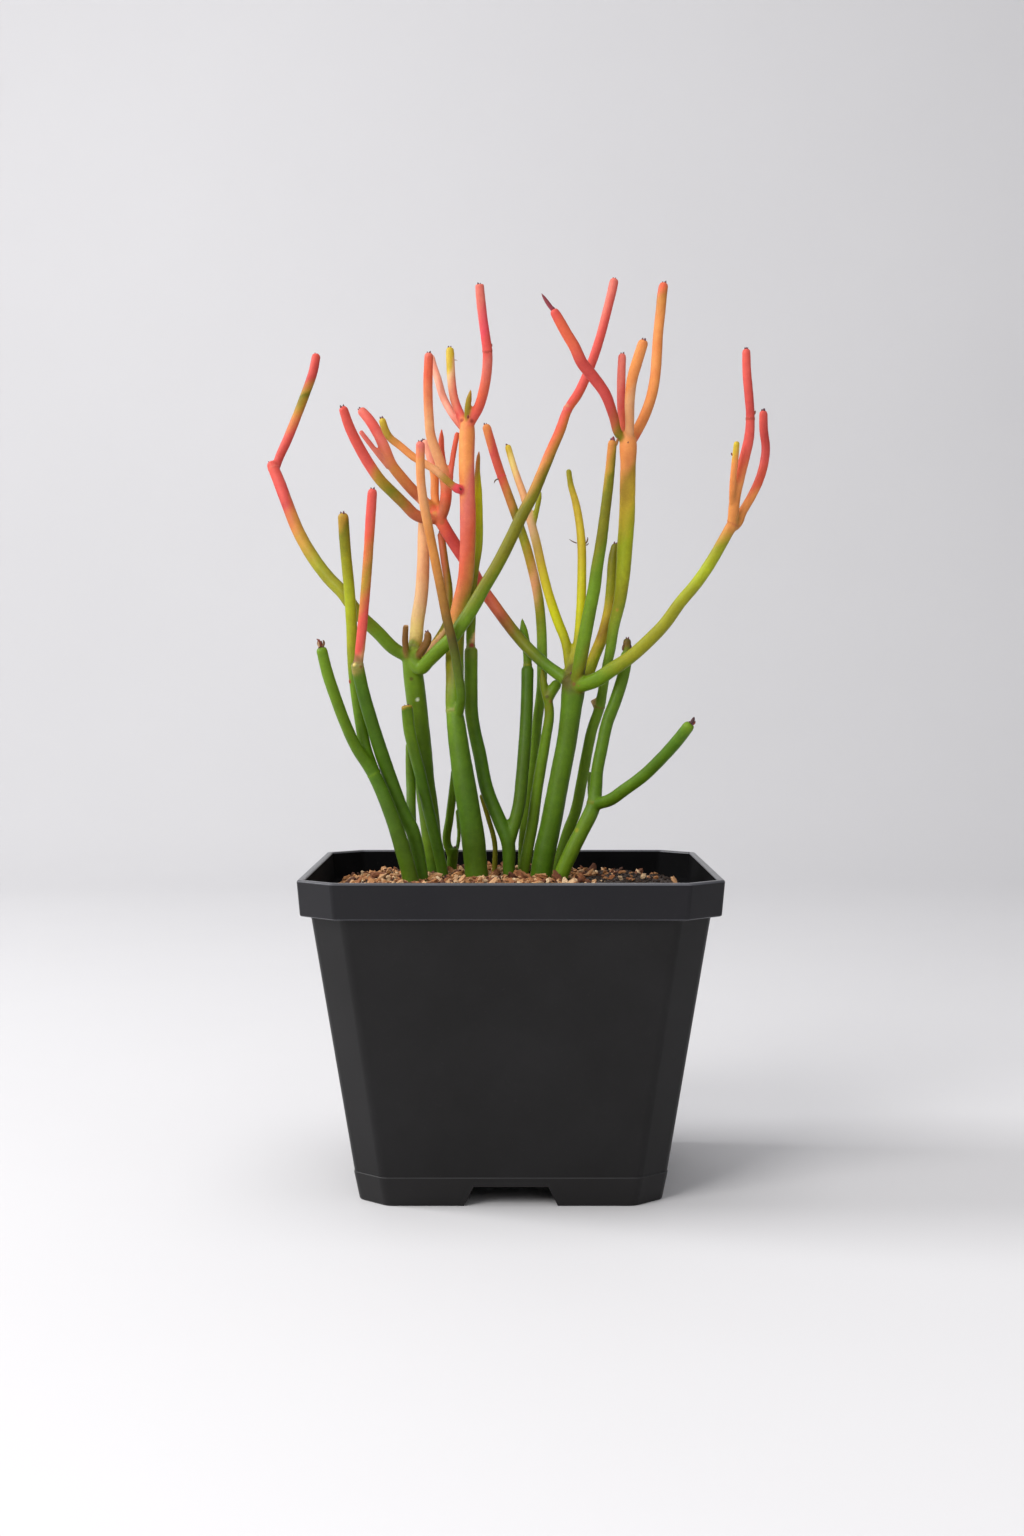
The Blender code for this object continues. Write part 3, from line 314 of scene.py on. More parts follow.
        ), "0 red, 0.07 red, 0.16 ochre, 0.3 peach, 0.5 orange, 0.72 orange, 0.86 ochre, 0.98 gold"),
        Branch((
            (-16.9, 293.5, 5, 3.8), (-15.5, 296.5, 4.5, 4.1), (-12.7, 301.5, 2, 4.1), (-10.6, 308.5, -2, 4.1),
            (-9.4, 316, -6, 4), (-9.2, 323.5, -9, 3.9), (-9.8, 328, -10, 3.8), (-11, 336.5, -13, 3.7),
            (-11.8, 343.5, -15, 3.7), (-12.3, 349.5, -16, 3.5),
        ), "0 coral, 0.1 red, 0.29 coral, 0.5 salmon, 0.6 red, 0.71 rose, 0.92 salmon, "
           "0.99 salmon", 3, Tip.FLAT),
        Branch((
            (-17.6, 293.5, 6, 3.4), (-18.8, 296.5, 7, 3.5), (-22.1, 304.5, 9, 3.5), (-23.3, 312.5, 11, 3.5),
            (-23.7, 319.5, 12, 3.5), (-23.9, 325, 13, 3.3),
        ), "0 salmon, 0.3 red, 0.6 pink, 0.76 buff, 0.85 gold, 0.99 gold", 6),
        Branch((
            (-18, 292.5, 7, 3), (-20, 295, 9, 3.1), (-23.9, 300.5, 13, 3.1), (-26.7, 306, 16, 3.1),
            (-28.6, 312.5, 18.5, 3.1), (-30.4, 318, 20, 3), (-31.4, 322, 21, 2.8),
        ), "0 pink, 0.19 salmon, 0.58 pale_pink, 0.92 pale_pink", 9),
        Branch((
            (-16.9, 295, 5, 2.4), (-17.1, 299.5, 3, 2.5), (-15.7, 309, 0, 2.2),
        ), "0.01 olive, 0.96 ochre", 0, Tip.POINT),
    )),
    StemRoute("stem_back_thin", (
        Branch((
            (-6.3, 92, 14, 2.2), (-6.5, 120.5, 14, 2.2), (-6.3, 129.5, 14, 2.2), (-9.4, 142, 14, 2.1),
            (-11.8, 150, 13.5, 2),
        ), "0 olive, 0.99 olive"),
    )),
    StemRoute("stem_middle_forked", (
        Branch((
            (-0.5, 92, 0, 4.6), (-0.8, 120.5, 0, 4.9), (-1.2, 131, 0, 5.6), (-4.7, 140, 1.5, 5.5),
            (-9.4, 151.5, 4, 5.5), (-12.5, 166.5, 7, 5.4), (-14.3, 174.5, 8, 5.3), (-15.5, 182, 8.5, 5.3),
            (-15.7, 191, 8.5, 5.4), (-15.7, 207.5, 8.5, 5.3),
        ), "0.19 foot_olive, 0.39 shade_green, 0.72 shade_green, 0.9 leaf_green, 1 leaf_green", 16, Tip.FLAT),
        Branch((
            (-15.7, 204.5, 8.5, 3.4), (-15.9, 210.5, 8.5, 3.7), (-15.7, 217.5, 8, 3.8), (-15.3, 228, 8, 3.7),
            (-14.1, 240, 8, 3.6), (-12.9, 246, 8, 3.3), (-12.7, 259.5, 8.5, 3.5), (-12.9, 269, 9, 3.2),
            (-13.1, 277, 10, 2.2), (-12.5, 285, 11, 1.6),
        ), "0.02 buff, 0.06 buff, 0.1 leaf_green, 0.32 olive, 0.46 light_olive, 0.54 yellow_green, "
           "0.83 lime, 0.91 ochre, 0.99 burnt_orange", 4, Tip.POINT),
        Branch((
            (-1.2, 129.5, 0, 4.9), (1.2, 138, 1, 5.1), (3.1, 145.5, 2, 5.1), (4.3, 156.5, 3.5, 5.1),
            (5.5, 171, 5.5, 5.1), (6.3, 187, 8, 5), (6.5, 200, 10, 4.9),
        ), "0 foot_olive, 0.07 deep_green, 0.28 foot_olive, 0.99 shade_green", 0, Tip.FLAT),
        Branch((
            (6.6, 197, 10, 3.4), (6.3, 206.5, 11, 3.6), (5.1, 213.5, 12, 3.4), (4.3, 219.5, 13, 2.6),
        ), "0.07 leaf_green, 0.94 leaf_green", 0, Tip.POINT),
    )),
    StemRoute("stem_back_scarred", (
        Branch((
            (4.8, 92, 8, 4.5), (5.1, 120.5, 8, 4.6), (6.7, 129, 8, 4.7), (8.6, 139, 8, 4.6),
            (9.8, 148.5, 8, 4.6), (11.8, 161, 8, 4.5), (13.7, 172, 8, 4.3), (15.1, 182, 8, 3.9),
            (14.2, 189.5, 8, 3.8),
        ), "0 leaf_green, 0.89 leaf_green, 0.99 olive", 4),
        Branch((
            (14.1, 186, 8, 3.6), (16.1, 190.5, 8.5, 4.4), (18.8, 194.5, 9.5, 4.2),
        ), "0.1 leaf_green, 0.88 leaf_green"),
        Branch((
            (14.1, 186.5, 8, 3), (12.9, 193, 8.5, 3.2), (12.2, 200, 9, 2.4),
        ), "0.03 leaf_green, 0.9 olive", 0, Tip.POINT),
    )),
    StemRoute("stem_back_arching", (
        Branch((
            (4.5, 92, 18, 4.2), (4.7, 121, 18, 4.3), (5.1, 132, 18, 4.3), (6.3, 145.5, 18, 4.3),
            (8, 157.5, 17.5, 4.3), (9.4, 169.5, 17, 4.2), (10.6, 180.5, 16.5, 4.1), (12, 191, 15.5, 4.2),
            (12.2, 202.5, 14.5, 4.2), (11.9, 216, 14.5, 4.1), (10.7, 227.5, 15, 4), (8.8, 236.5, 16, 3.9),
            (5.9, 247.5, 17.5, 3.9), (3.1, 256, 19, 3.8), (0.2, 264, 20.5, 3.8), (-2.9, 272.5, 22, 3.6),
            (-5.5, 280, 24, 3.8), (-7.6, 287, 26, 3.8), (-9.9, 295, 28, 3.6),
        ), "0 leaf_green, 0.46 leaf_green, 0.57 bright_green, 0.64 light_olive, 0.69 peach, 0.73 ochre, "
           "0.77 light_olive, 0.82 olive, 0.86 burnt_orange, 0.9 coral, 0.96 red, 1 orange", 6),
    )),
    StemRoute("stem_right_whorled", (
        Branch((
            (11.3, 92, -6, 8.4), (12, 119.5, -6, 8.6), (13.5, 128, -6, 8.6), (15.3, 136, -6, 8.4),
            (17.4, 147, -6, 8.2), (19.6, 158.5, -5.5, 8), (22, 171, -5, 8), (23.7, 184, -4.5, 8.4),
            (24.7, 193.5, -4, 9.2), (24.9, 197.5, -4, 7.8),
        ), "0.25 shade_green, 0.6 deep_green, 0.9 deep_green, 0.97 shade_olive"),
        Branch((
            (23.9, 193.5, -3, 4.8), (18.4, 197.5, 0, 5), (13.7, 201, 2, 4.8), (8.2, 206, 4, 4.8),
            (3.1, 211.5, 6.5, 4.8), (-2, 218, 9, 4.8), (-7.1, 225, 11.5, 4.8), (-11.4, 231, 13, 4.9),
            (-14.7, 237, 13.5, 4.9), (-20.4, 245.5, 13.5, 5), (-25.1, 253, 13, 5.1), (-29.6, 261, 13, 4.8),
        ), "0 olive, 0.05 leaf_green, 0.2 deep_green, 0.38 olive, 0.5 russet, 0.68 red, 0.9 crimson, "
           "0.99 coral", 9),
        Branch((
            (-28.2, 258.5, 13, 4.2), (-31.8, 258, 12, 4.5), (-37.2, 259.5, 10.5, 4.5), (-41.9, 264, 9.5, 4.5),
            (-46.5, 268.5, 8.5, 4.5), (-51, 273, 7, 4.5), (-55.3, 279, 5, 4.5), (-59.4, 286, 2, 4.3),
            (-63.1, 293.5, -1, 4.1), (-66, 302, -4, 3.6),
        ), "0 russet, 0.2 russet, 0.36 olive, 0.5 ochre, 0.6 red, 0.99 red", 4),
        Branch((
            (-29, 259.5, 14, 4), (-30.2, 261, 14.5, 4.4), (-33.7, 264.5, 14.5, 4.5), (-39.2, 270, 14, 4.5),
            (-43.1, 274.5, 13.5, 4.5), (-46.6, 279, 13, 4.4), (-49.2, 285, 13, 4.4),
            (-51.7, 290.5, 13.5, 4.3), (-55.3, 296.5, 14.5, 4.2), (-59.2, 301, 16, 3.8),
        ), "0 russet, 0.11 burnt_orange, 0.17 pink, 0.23 russet, 0.48 burnt_orange, 0.69 salmon, 0.84 red, "
           "0.99 salmon"),
        Branch((
            (-47.8, 278, 12.5, 2.2), (-50.2, 281, 12, 2.2), (-54.9, 287, 12, 2.2), (-59.2, 292.5, 12, 2),
        ), "0 pink, 0.6 salmon, 0.97 salmon"),
        Branch((
            (-29, 260, 14, 3.2), (-29.9, 267.5, 17, 3.5), (-30, 275, 19, 3.5), (-31.8, 283, 20, 3.5),
            (-33.9, 289, 20.5, 3.3),
        ), "0 burnt_orange, 0.16 orange, 0.59 orange, 0.65 pale_pink, 0.95 pale_pink"),
        Branch((
            (-27.8, 258, 12.5, 4.4), (-26.3, 262, 12.5, 4.7), (-25.5, 271, 12.5, 4.6), (-27.4, 279, 12, 4.4),
            (-29.4, 284.5, 11.5, 4.2), (-31.4, 290.5, 11, 4), (-32.1, 298, 10, 3.9), (-32.5, 308.5, 8, 3.8),
            (-32.1, 323, 6, 3.6),
        ), "0 russet, 0.07 russet, 0.16 coral, 0.3 peach, 0.58 peach, 0.88 coral, 0.93 coral, 0.99 salmon"),
        Branch((
            (-25.5, 270, 14, 2.4), (-26.1, 277, 17, 2.5), (-27.2, 285, 19, 2.5), (-27.2, 293.5, 20, 2.2),
        ), "0 coral, 0.98 coral", 6, Tip.POINT),
        Branch((
            (-25.9, 264, 13, 2.2), (-24.3, 269, 13, 2.3), (-23.5, 277, 12.5, 2.3), (-22.3, 285, 12.5, 2.3),
            (-20.9, 292, 13, 2.1),
        ), "0 salmon, 0.98 coral"),
        Branch((
            (23.9, 194.5, -3, 3.8), (23.1, 199.5, -1, 3.9), (21.6, 209.5, 0, 3.9), (18, 219, 1, 3.9),
            (14.7, 229, 1.5, 3.8), (12, 239.5, 1.5, 3.7), (9.8, 249.5, 1.5, 3.6), (7.4, 258.5, 2, 3.4),
            (4.9, 267.5, 3.5, 3.1), (2.9, 273, 5, 2.9), (0.6, 280, 7, 2.8), (-1.4, 287, 9, 2.6),
        ), "0 olive, 0.1 light_olive, 0.3 lime, 0.51 gold, 0.66 buff, 0.77 peach, 0.84 peach, 0.93 cream, "
           "0.99 gold", 3),
        Branch((
            (8.6, 255, 2, 2.2), (10.2, 262, 1, 2.2), (11.8, 269.5, 2, 1.8),
        ), "0.01 light_olive, 0.98 light_olive", 0, Tip.POINT),
        Branch((
            (24.7, 194.5, -3, 3.8), (25.1, 202, -2, 3.9), (25.9, 206.5, -1, 3.9), (27.4, 222.5, 1, 3.8),
            (27.8, 236, 3, 3.7), (27.6, 249.5, 5, 3.5), (26.7, 257.5, 7, 3.3), (25.1, 265.5, 9, 3),
            (23.5, 271, 10, 2.6), (22.5, 277.5, 11, 2.2),
        ), "0 olive, 0.31 lime, 0.77 gold, 0.87 gold, 0.99 light_olive"),
        Branch((
            (25.5, 192.5, -6, 5), (27, 201, -9.5, 5.3), (29, 212, -11.5, 5.3), (31, 222.5, -12, 5.2),
            (32.7, 231, -12.5, 5), (33.7, 238.5, -13, 4.8), (35.5, 249.5, -14, 4.5), (36.6, 258, -15, 4.2),
            (38, 269.5, -16, 4), (39, 279, -17, 3.8), (39.8, 289, -18, 3.5),
        ), "0 shade_olive, 0.06 olive, 0.2 leaf_green, 0.5 leaf_green, 0.66 olive, 0.86 olive, 0.93 ochre, "
           "0.99 burnt_orange", 9),
        Branch((
            (27, 192.5, -3, 4.2), (29.8, 196.5, -1, 4.6), (32.9, 204.5, 1, 4.7), (36.1, 212.5, 2, 4.7),
            (38.4, 222, 3, 4.5), (39.6, 234, 3.5, 4.3), (40, 242, 4, 4), (41.2, 248.5, 4.5, 3.4),
        ), "0 olive, 0.07 light_olive, 0.2 yellow_green, 0.34 gold, 0.45 ochre, 0.56 gold, 0.72 light_olive, "
           "0.99 olive", 4),
        Branch((
            (25.9, 192, -6, 5.4), (28.2, 193, -8, 5.8), (34.5, 195.5, -12, 5.9), (39.6, 199, -15, 5.6),
            (46.3, 203.5, -18, 5.3), (53.7, 210, -21, 5.1), (60, 216.5, -23, 4.9), (66.6, 225.5, -25, 4.7),
            (72.9, 233, -26, 4.6), (79, 242, -27, 4.5), (82.7, 248.5, -28, 4.4), (87.4, 257, -29, 4.4),
        ), "0 olive, 0.05 leaf_green, 0.16 leaf_green, 0.3 light_olive, 0.6 light_olive, 0.78 yellow_green, "
           "0.9 light_olive, 0.95 ochre, 1 burnt_orange", 4),
        Branch((
            (86.6, 254, -29, 3.8), (87.2, 259.5, -30, 4.2), (87.8, 266, -31, 4.2), (89.6, 274.5, -33, 4.2),
            (91.5, 282, -35, 4.1), (93.3, 290, -37, 3.8), (93.7, 298, -38, 3.4), (93.1, 306.5, -39, 3.5),
            (92.3, 315, -40, 3.4), (92, 324.5, -41, 3.2),
        ), "0 burnt_orange, 0.25 orange, 0.38 coral, 0.5 red, 0.69 crimson, 0.88 red, 0.99 red", 3),
        Branch((
            (86.7, 263, -31, 2.5), (87, 273, -36, 2.6), (87.8, 281, -39.5, 2.6), (88.5, 288.5, -42, 2.3),
        ), "0 burnt_orange, 0.3 orange, 0.7 orange, 0.97 gold", 3),
        Branch((
            (86.6, 254.5, -28, 3.4), (88.2, 255.5, -28, 3.5), (90.9, 261, -27, 3.5), (94.1, 266.5, -26, 3.5),
            (97.2, 273, -25, 3.5), (99.2, 280, -24, 3.5), (99.8, 286, -23.5, 3.4), (99, 292.5, -24, 3.4),
            (98.8, 300.5, -25, 3.2),
        ), "0 burnt_orange, 0.3 orange, 0.42 coral, 0.6 red, 0.8 crimson, 0.98 red", 3),
    )),
    StemRoute("stem_right_gold", (
        Branch((
            (17, 92, 10, 4.4), (18, 121, 10, 4.5), (19.6, 126, 10, 4.5), (22.7, 136, 10, 4.5),
            (25.1, 142, 9.5, 4.5), (27.8, 154.5, 8.5, 4.5), (30, 166.5, 7.5, 4.4), (31.8, 175, 6, 4.3),
            (34.9, 184.5, 4.5, 4.2), (36.1, 191, 2.5, 3.9), (37.2, 198, 0.5, 3.9), (39, 206.5, -1.5, 4.1),
            (40.4, 216, -3, 4.5), (42.7, 226, -4, 5), (44.1, 238, -4.5, 5.8), (44.7, 247.5, -4.5, 6.2),
            (45.5, 259.5, -4.5, 6.3), (45.7, 270, -4.5, 6.3), (45.9, 281, -4.5, 6.3), (45.9, 287, -4.5, 7),
            (45.9, 291.5, -4.5, 5.6),
        ), "0 shade_green, 0.28 leaf_green, 0.5 leaf_green, 0.6 bright_green, 0.7 light_olive, "
           "0.8 yellow_green, 0.87 gold, 0.92 ochre, 0.955 orange, 1 orange", 6),
        Branch((
            (34.4, 183.5, 5, 3.2), (32.6, 187.5, 5, 3.2),
        ), "0.26 leaf_green, 0.95 buff", 0, Tip.FLAT),
        Branch((
            (46.3, 287, -4, 4), (47.4, 289, -3, 4.2), (51.7, 297, 0, 4.3), (54.7, 305, 4, 4.3),
            (56.3, 313, 8, 4.3), (57, 321.5, 11, 4.2), (57.5, 330, 14, 4.1), (58.4, 338.5, 17, 4.1),
            (59.2, 346.5, 19, 4), (59.8, 350, 20, 3.8),
        ), "0 coral, 0.08 orange, 0.8 orange, 0.93 burnt_orange, 0.99 coral", 3),
        Branch((
            (44.7, 288.5, -5, 3.4), (42.3, 291, -6, 3.5), (40, 298.5, -9, 3.8), (36.8, 307, -11.5, 4.4),
            (32.2, 313.4, -12.5, 4.6), (27.7, 319, -13.5, 4.6), (24.9, 325, -14, 4.5),
            (21.6, 330.5, -15, 4.3), (18.3, 336.4, -16, 4), (16.3, 339.8, -16.5, 3.4),
        ), "0 olive, 0.06 olive, 0.16 russet, 0.28 crimson, 0.6 crimson, 0.78 coral, 0.92 coral, "
           "0.99 red", 3),
        Branch((
            (45.5, 288, -3, 3.2), (44.7, 292, -1, 3.5), (43.3, 300.5, 2, 3.5), (43.1, 310.5, 5, 3.5),
            (43.5, 322.5, 8, 3.3),
        ), "0 russet, 0.3 coral, 0.49 red, 0.74 salmon, 0.99 salmon", 6),
        Branch((
            (46.3, 289, -5, 3.4), (46.5, 295, -8, 3.6), (46.5, 304.5, -13, 4), (47.4, 312.5, -16, 4.3),
            (49.4, 319.5, -18, 4.3), (52.1, 328, -20, 4),
        ), "0.02 peach, 0.45 peach, 0.6 orange, 0.99 orange", 6),
    )),
    StemRoute("stem_right_forked", (
        Branch((
            (16.5, 92, -14, 5.6), (20, 118.5, -14, 5.8), (23.9, 127.5, -14, 5.9), (28.4, 136.5, -13.5, 5.9),
            (32.5, 145.5, -12.5, 5.8), (33.4, 152, -11.5, 5.2), (33.9, 158.5, -11, 4.9),
            (35.7, 168, -10, 4.9), (38, 178.5, -9, 4.9), (40.8, 186, -8.5, 4.9), (42.5, 191, -8, 4.9),
            (44.1, 196.5, -8, 4.8), (45.1, 202.5, -7.5, 4.8), (45.5, 206.3, -7, 4.3),
        ), "0.23 leaf_green, 0.4 leaf_green, 0.5 deep_green, 0.86 deep_green, 1 leaf_green"),
        Branch((
            (31.8, 144.5, -12.5, 4.6), (34.1, 146, -14, 4.7), (38.8, 147.6, -18, 4.8),
            (44.9, 151.8, -23, 4.8), (52.4, 157.4, -28, 4.8), (59.1, 163.9, -33, 4.7),
            (65.4, 170.9, -38, 4.7), (70.9, 178, -42, 4.5),
        ), "0 shade_green, 0.12 deep_green, 0.35 deep_green, 0.86 shade_green, 1 leaf_green"),
        Branch((
            (45.5, 206.6, -7, 3), (45.6, 208.8, -7, 3.4), (45.8, 211.4, -7, 2.8),
        ), "0 bark_brown, 0.5 shade_olive, 1 bark_brown"),
        Branch((
            (31.8, 145.5, -11, 1.8), (31, 150, -8.5, 1.7), (31, 159, -7, 1.5),
        ), "0 foot_olive, 0.49 shade_green, 0.77 foot_olive, 0.97 foot_olive", 12),
    )),
)


RING, SPOT, NUB = MarkKind
MARKS: dict[str, tuple[Mark, ...]] = {
    "stem_left_forked": (
        Mark(NUB, -63.4, 194.3, 0.9, Tone.RED_BROWN),
        Mark(RING, -54.4, 157.6, 1.2, Tone.LEAF_GREEN),
    ),
    "stem_left_pink": (
        Mark(RING, -60.2, 200.6, 1.8, Tone.PALE_OLIVE),
        Mark(NUB, -61.6, 201.0, 0.8, Tone.CREAM),
        Mark(NUB, -58.9, 200.2, 0.6, Tone.BARK_BROWN),
    ),
    "stem_left_tall": (
        Mark(SPOT, -36.6, 187.3, 0.75, Tone.PALE_SPECK),
        Mark(SPOT, -39.0, 195.4, 0.8, Tone.SHADE_OLIVE),
        Mark(RING, -38.4, 207.2, 1.4, Tone.PALE_OLIVE),
        Mark(RING, -92.6, 278.4, 1.2, Tone.SALMON),
        Mark(NUB, 21.4, 301.8, 1.3, Tone.PINK),
        Mark(RING, 22.4, 300.6, 1.0, Tone.ROSE),
    ),
    "stem_middle_crowned": (
        Mark(RING, -22.3, 183.0, 1.3, Tone.PALE_OLIVE),
        Mark(RING, -9.2, 323.8, 0.5, Tone.RED_BROWN),
        Mark(NUB, -19.2, 296.3, 0.8, Tone.RED_BROWN),
        Mark(NUB, -15.4, 296.0, 0.8, Tone.RED_BROWN),
        Mark(NUB, -20.6, 269.6, 2.4, Tone.ROSE),
    ),
    "stem_middle_forked": (
        Mark(RING, -15.7, 208.0, 1.2, Tone.PALE_OLIVE),
        Mark(NUB, -15.4, 208.6, 1.0, Tone.RED_BROWN),
        Mark(RING, 6.5, 201.2, 1.4, Tone.LIGHT_OLIVE),
    ),
    "stem_back_scarred": (
        Mark(NUB, 14.1, 188.4, 0.7, Tone.SHADE_OLIVE),
        Mark(NUB, 15.6, 186.6, 0.7, Tone.BARK_BROWN),
    ),
    "stem_back_arching": (Mark(RING, -4.6, 274.4, 0.8, Tone.ROSE),),
    "stem_right_whorled": (
        Mark(RING, 24.8, 194.2, 0.9, Tone.SHADE_OLIVE),
        Mark(NUB, 24.9, 193.4, 0.9, Tone.BARK_BROWN),
        Mark(NUB, 22.6, 193.8, 0.7, Tone.BARK_BROWN),
        Mark(SPOT, 26.8, 192.8, 0.6, Tone.RED_BROWN),
        Mark(SPOT, 19.2, 200.8, 0.9, Tone.DARK_BUD),
        Mark(SPOT, 17.4, 202.2, 0.8, Tone.DARK_BUD),
        Mark(SPOT, 14.8, 203.6, 0.7, Tone.DARK_BUD),
        Mark(NUB, 26.9, 268.2, 0.8, Tone.OLIVE),
        Mark(RING, 93.7, 297.6, 0.6, Tone.RED_BROWN),
        Mark(RING, 87.2, 256.6, 1.0, Tone.RUSSET),
        Mark(NUB, -29.6, 259.4, 1.6, Tone.BURNT_ORANGE),
        Mark(SPOT, -27.0, 256.6, 1.0, Tone.RUSSET),
    ),
    "stem_right_gold": (
        Mark(RING, 34.9, 184.6, 0.6, Tone.BARK_BROWN),
        Mark(SPOT, 41.6, 222.4, 0.6, Tone.OCHRE),
        Mark(NUB, 47.4, 288.8, 0.9, Tone.RED_BROWN),
        Mark(NUB, 55.0, 337.6, 0.9, Tone.RUSSET),
        Mark(NUB, 59.6, 318.2, 0.8, Tone.RUSSET),
    ),
    "stem_right_forked": (
        Mark(RING, 33.0, 146.4, 1.2, Tone.OLIVE),
        Mark(SPOT, 25.8, 136.0, 0.9, Tone.LIGHT_OLIVE),
    ),
}


@dataclass(frozen=True)
class Wisp:
    """A dried bud, curl or twig: a short tapered tube that bends as it goes.

    place is (right, height, back) of its root, aim is its first direction (right, back, up), and the curl
    turns it towards bend, in radians over its length. Sizes are in millimetres.
    """

    place: tuple[float, float, float]
    aim: tuple[float, float, float]
    length: float
    width: float
    curl: float
    bend: tuple[float, float, float]
    tone: Tone


WISPS: tuple[Wisp, ...] = (
    Wisp((-75.1, 208.0, -38), (-0.7, 0.1, 0.8), 3.2, 1.0, 1.6, (0, 0, 1), Tone.BARK_BROWN),
    Wisp((-74.9, 208.2, -38), (0.1, -0.2, 1.0), 3.4, 1.1, 1.3, (-1, 0, 0), Tone.RED_BROWN),
    Wisp((-74.4, 208.0, -38), (0.9, 0.0, 0.7), 3.0, 1.0, 1.7, (0, 0, 1), Tone.BARK_BROWN),
    Wisp((-74.8, 208.0, -37.4), (0.3, 0.8, 0.8), 2.6, 0.9, 1.5, (0, 0, 1), Tone.BARK_BROWN),
    Wisp((-75.3, 208.1, -38.6), (-0.3, -0.8, 0.7), 2.2, 0.9, 1.2, (0, 0, 1), Tone.BUFF),
    Wisp((46.9, 206.4, -7.4), (0.25, -0.2, 1.0), 3.4, 1.0, 0.9, (-1, 0, 0), Tone.DARK_BUD),
    Wisp((44.2, 206.6, -7.4), (-0.2, -0.3, 1.0), 3.0, 1.0, 0.8, (1, 0, 0), Tone.BARK_BROWN),
    Wisp((70.9, 177.8, -42), (0.5, -0.3, 0.8), 2.9, 1.5, 0.4, (0, 0, 1), Tone.DARK_BUD),
    Wisp((71.5, 177.4, -42), (0.8, -0.2, 0.5), 1.9, 0.8, 1.0, (0, 0, 1), Tone.RED_BROWN),
    Wisp((25.9, 248.6, 5), (-1.0, -0.1, 0.3), 3.5, 0.5, 0.4, (0, 0, 1), Tone.BARK_BROWN),
    Wisp((29.2, 248.4, 5), (0.7, -0.1, 0.8), 2.9, 0.6, 0.9, (0, 0, 1), Tone.BARK_BROWN),
    Wisp((29.2, 247.8, 5), (1.0, 0.2, 0.1), 1.7, 0.5, 1.2, (0, 0, 1), Tone.BARK_BROWN),
    Wisp((-5.0, 273.6, 21.5), (-1.0, -0.2, -0.1), 2.6, 0.6, 1.6, (0, 0, -1), Tone.BARK_BROWN),
    Wisp((87.4, 282.8, -39), (-0.9, -0.1, 0.2), 1.7, 0.8, 1.4, (0, 0, 1), Tone.RED_BROWN),
    Wisp((87.4, 281.6, -39), (-0.7, -0.3, -0.2), 1.2, 0.6, 1.1, (0, 0, -1), Tone.RED_BROWN),
    Wisp((95.0, 298.8, -38), (0.7, 0.0, 0.8), 1.7, 0.8, 0.8, (-1, 0, 0), Tone.RUSSET),
    Wisp((-8.2, 324.6, -9), (0.6, 0.1, 0.9), 2.0, 0.9, 0.5, (-1, 0, 0), Tone.RUSSET),
    Wisp((40.0, 286.6, -18), (-0.15, 0.1, 1.0), 3.8, 1.9, 0.5, (1, 0, 0), Tone.MAGENTA),
    Wisp((40.9, 286.6, -18), (0.5, 0.0, 1.0), 3.4, 1.2, 0.4, (-1, 0, 0), Tone.BURNT_ORANGE),
    Wisp((17.0, 338.6, -16.4), (-0.6, -0.1, 0.75), 8.6, 1.7, 0.12, (1, 0, 0), Tone.MAGENTA),
    Wisp((-91.9, 277.6, 25), (-0.8, -0.1, 0.6), 2.6, 1.9, 0.2, (0, 0, 1), Tone.SALMON),
    Wisp((88.9, 260.6, -28), (-0.9, 0.0, 0.4), 2.2, 0.8, 0.6, (0, 0, 1), Tone.RUSSET),
    Wisp((-23.4, 319.6, 12), (0.95, 0.0, 0.5), 2.6, 0.4, 0.9, (0, 0, -1), Tone.BUFF),
    Wisp((45.6, 287.2, -7), (0.3, -0.8, 0.6), 1.4, 0.9, 0.4, (0, 0, 1), Tone.RED_BROWN),
    Wisp((-16.9, 297.4, 1.2), (0.1, -0.7, 0.8), 1.5, 0.9, 0.4, (0, 0, 1), Tone.RED_BROWN),
    Wisp((-19.4, 269.4, -0.8), (-0.7, -0.6, 0.6), 1.4, 0.8, 0.5, (0, 0, 1), Tone.RED_BROWN),
)


class NodeTree:
    """A node tree under construction."""

    tree: bpy.types.NodeTree

    def node(self, kind: str, inputs: dict | None = None, **settings: object) -> bpy.types.Node:
        """Adds a node, with values or links for its inputs.

        Args:
            kind: The node's type name.
            inputs: Input name or index to a value or to an output socket.
            settings: Properties of the node itself.

        Returns:
            The node.
        """
        made = self.tree.nodes.new(kind)
        for key, value in settings.items():
            setattr(made, key, value)
        for key, value in (inputs or {}).items():
            if isinstance(value, NodeSocket):
                self.tree.links.new(value, made.inputs[key])
            else:
                made.inputs[key].default_value = value
        return made


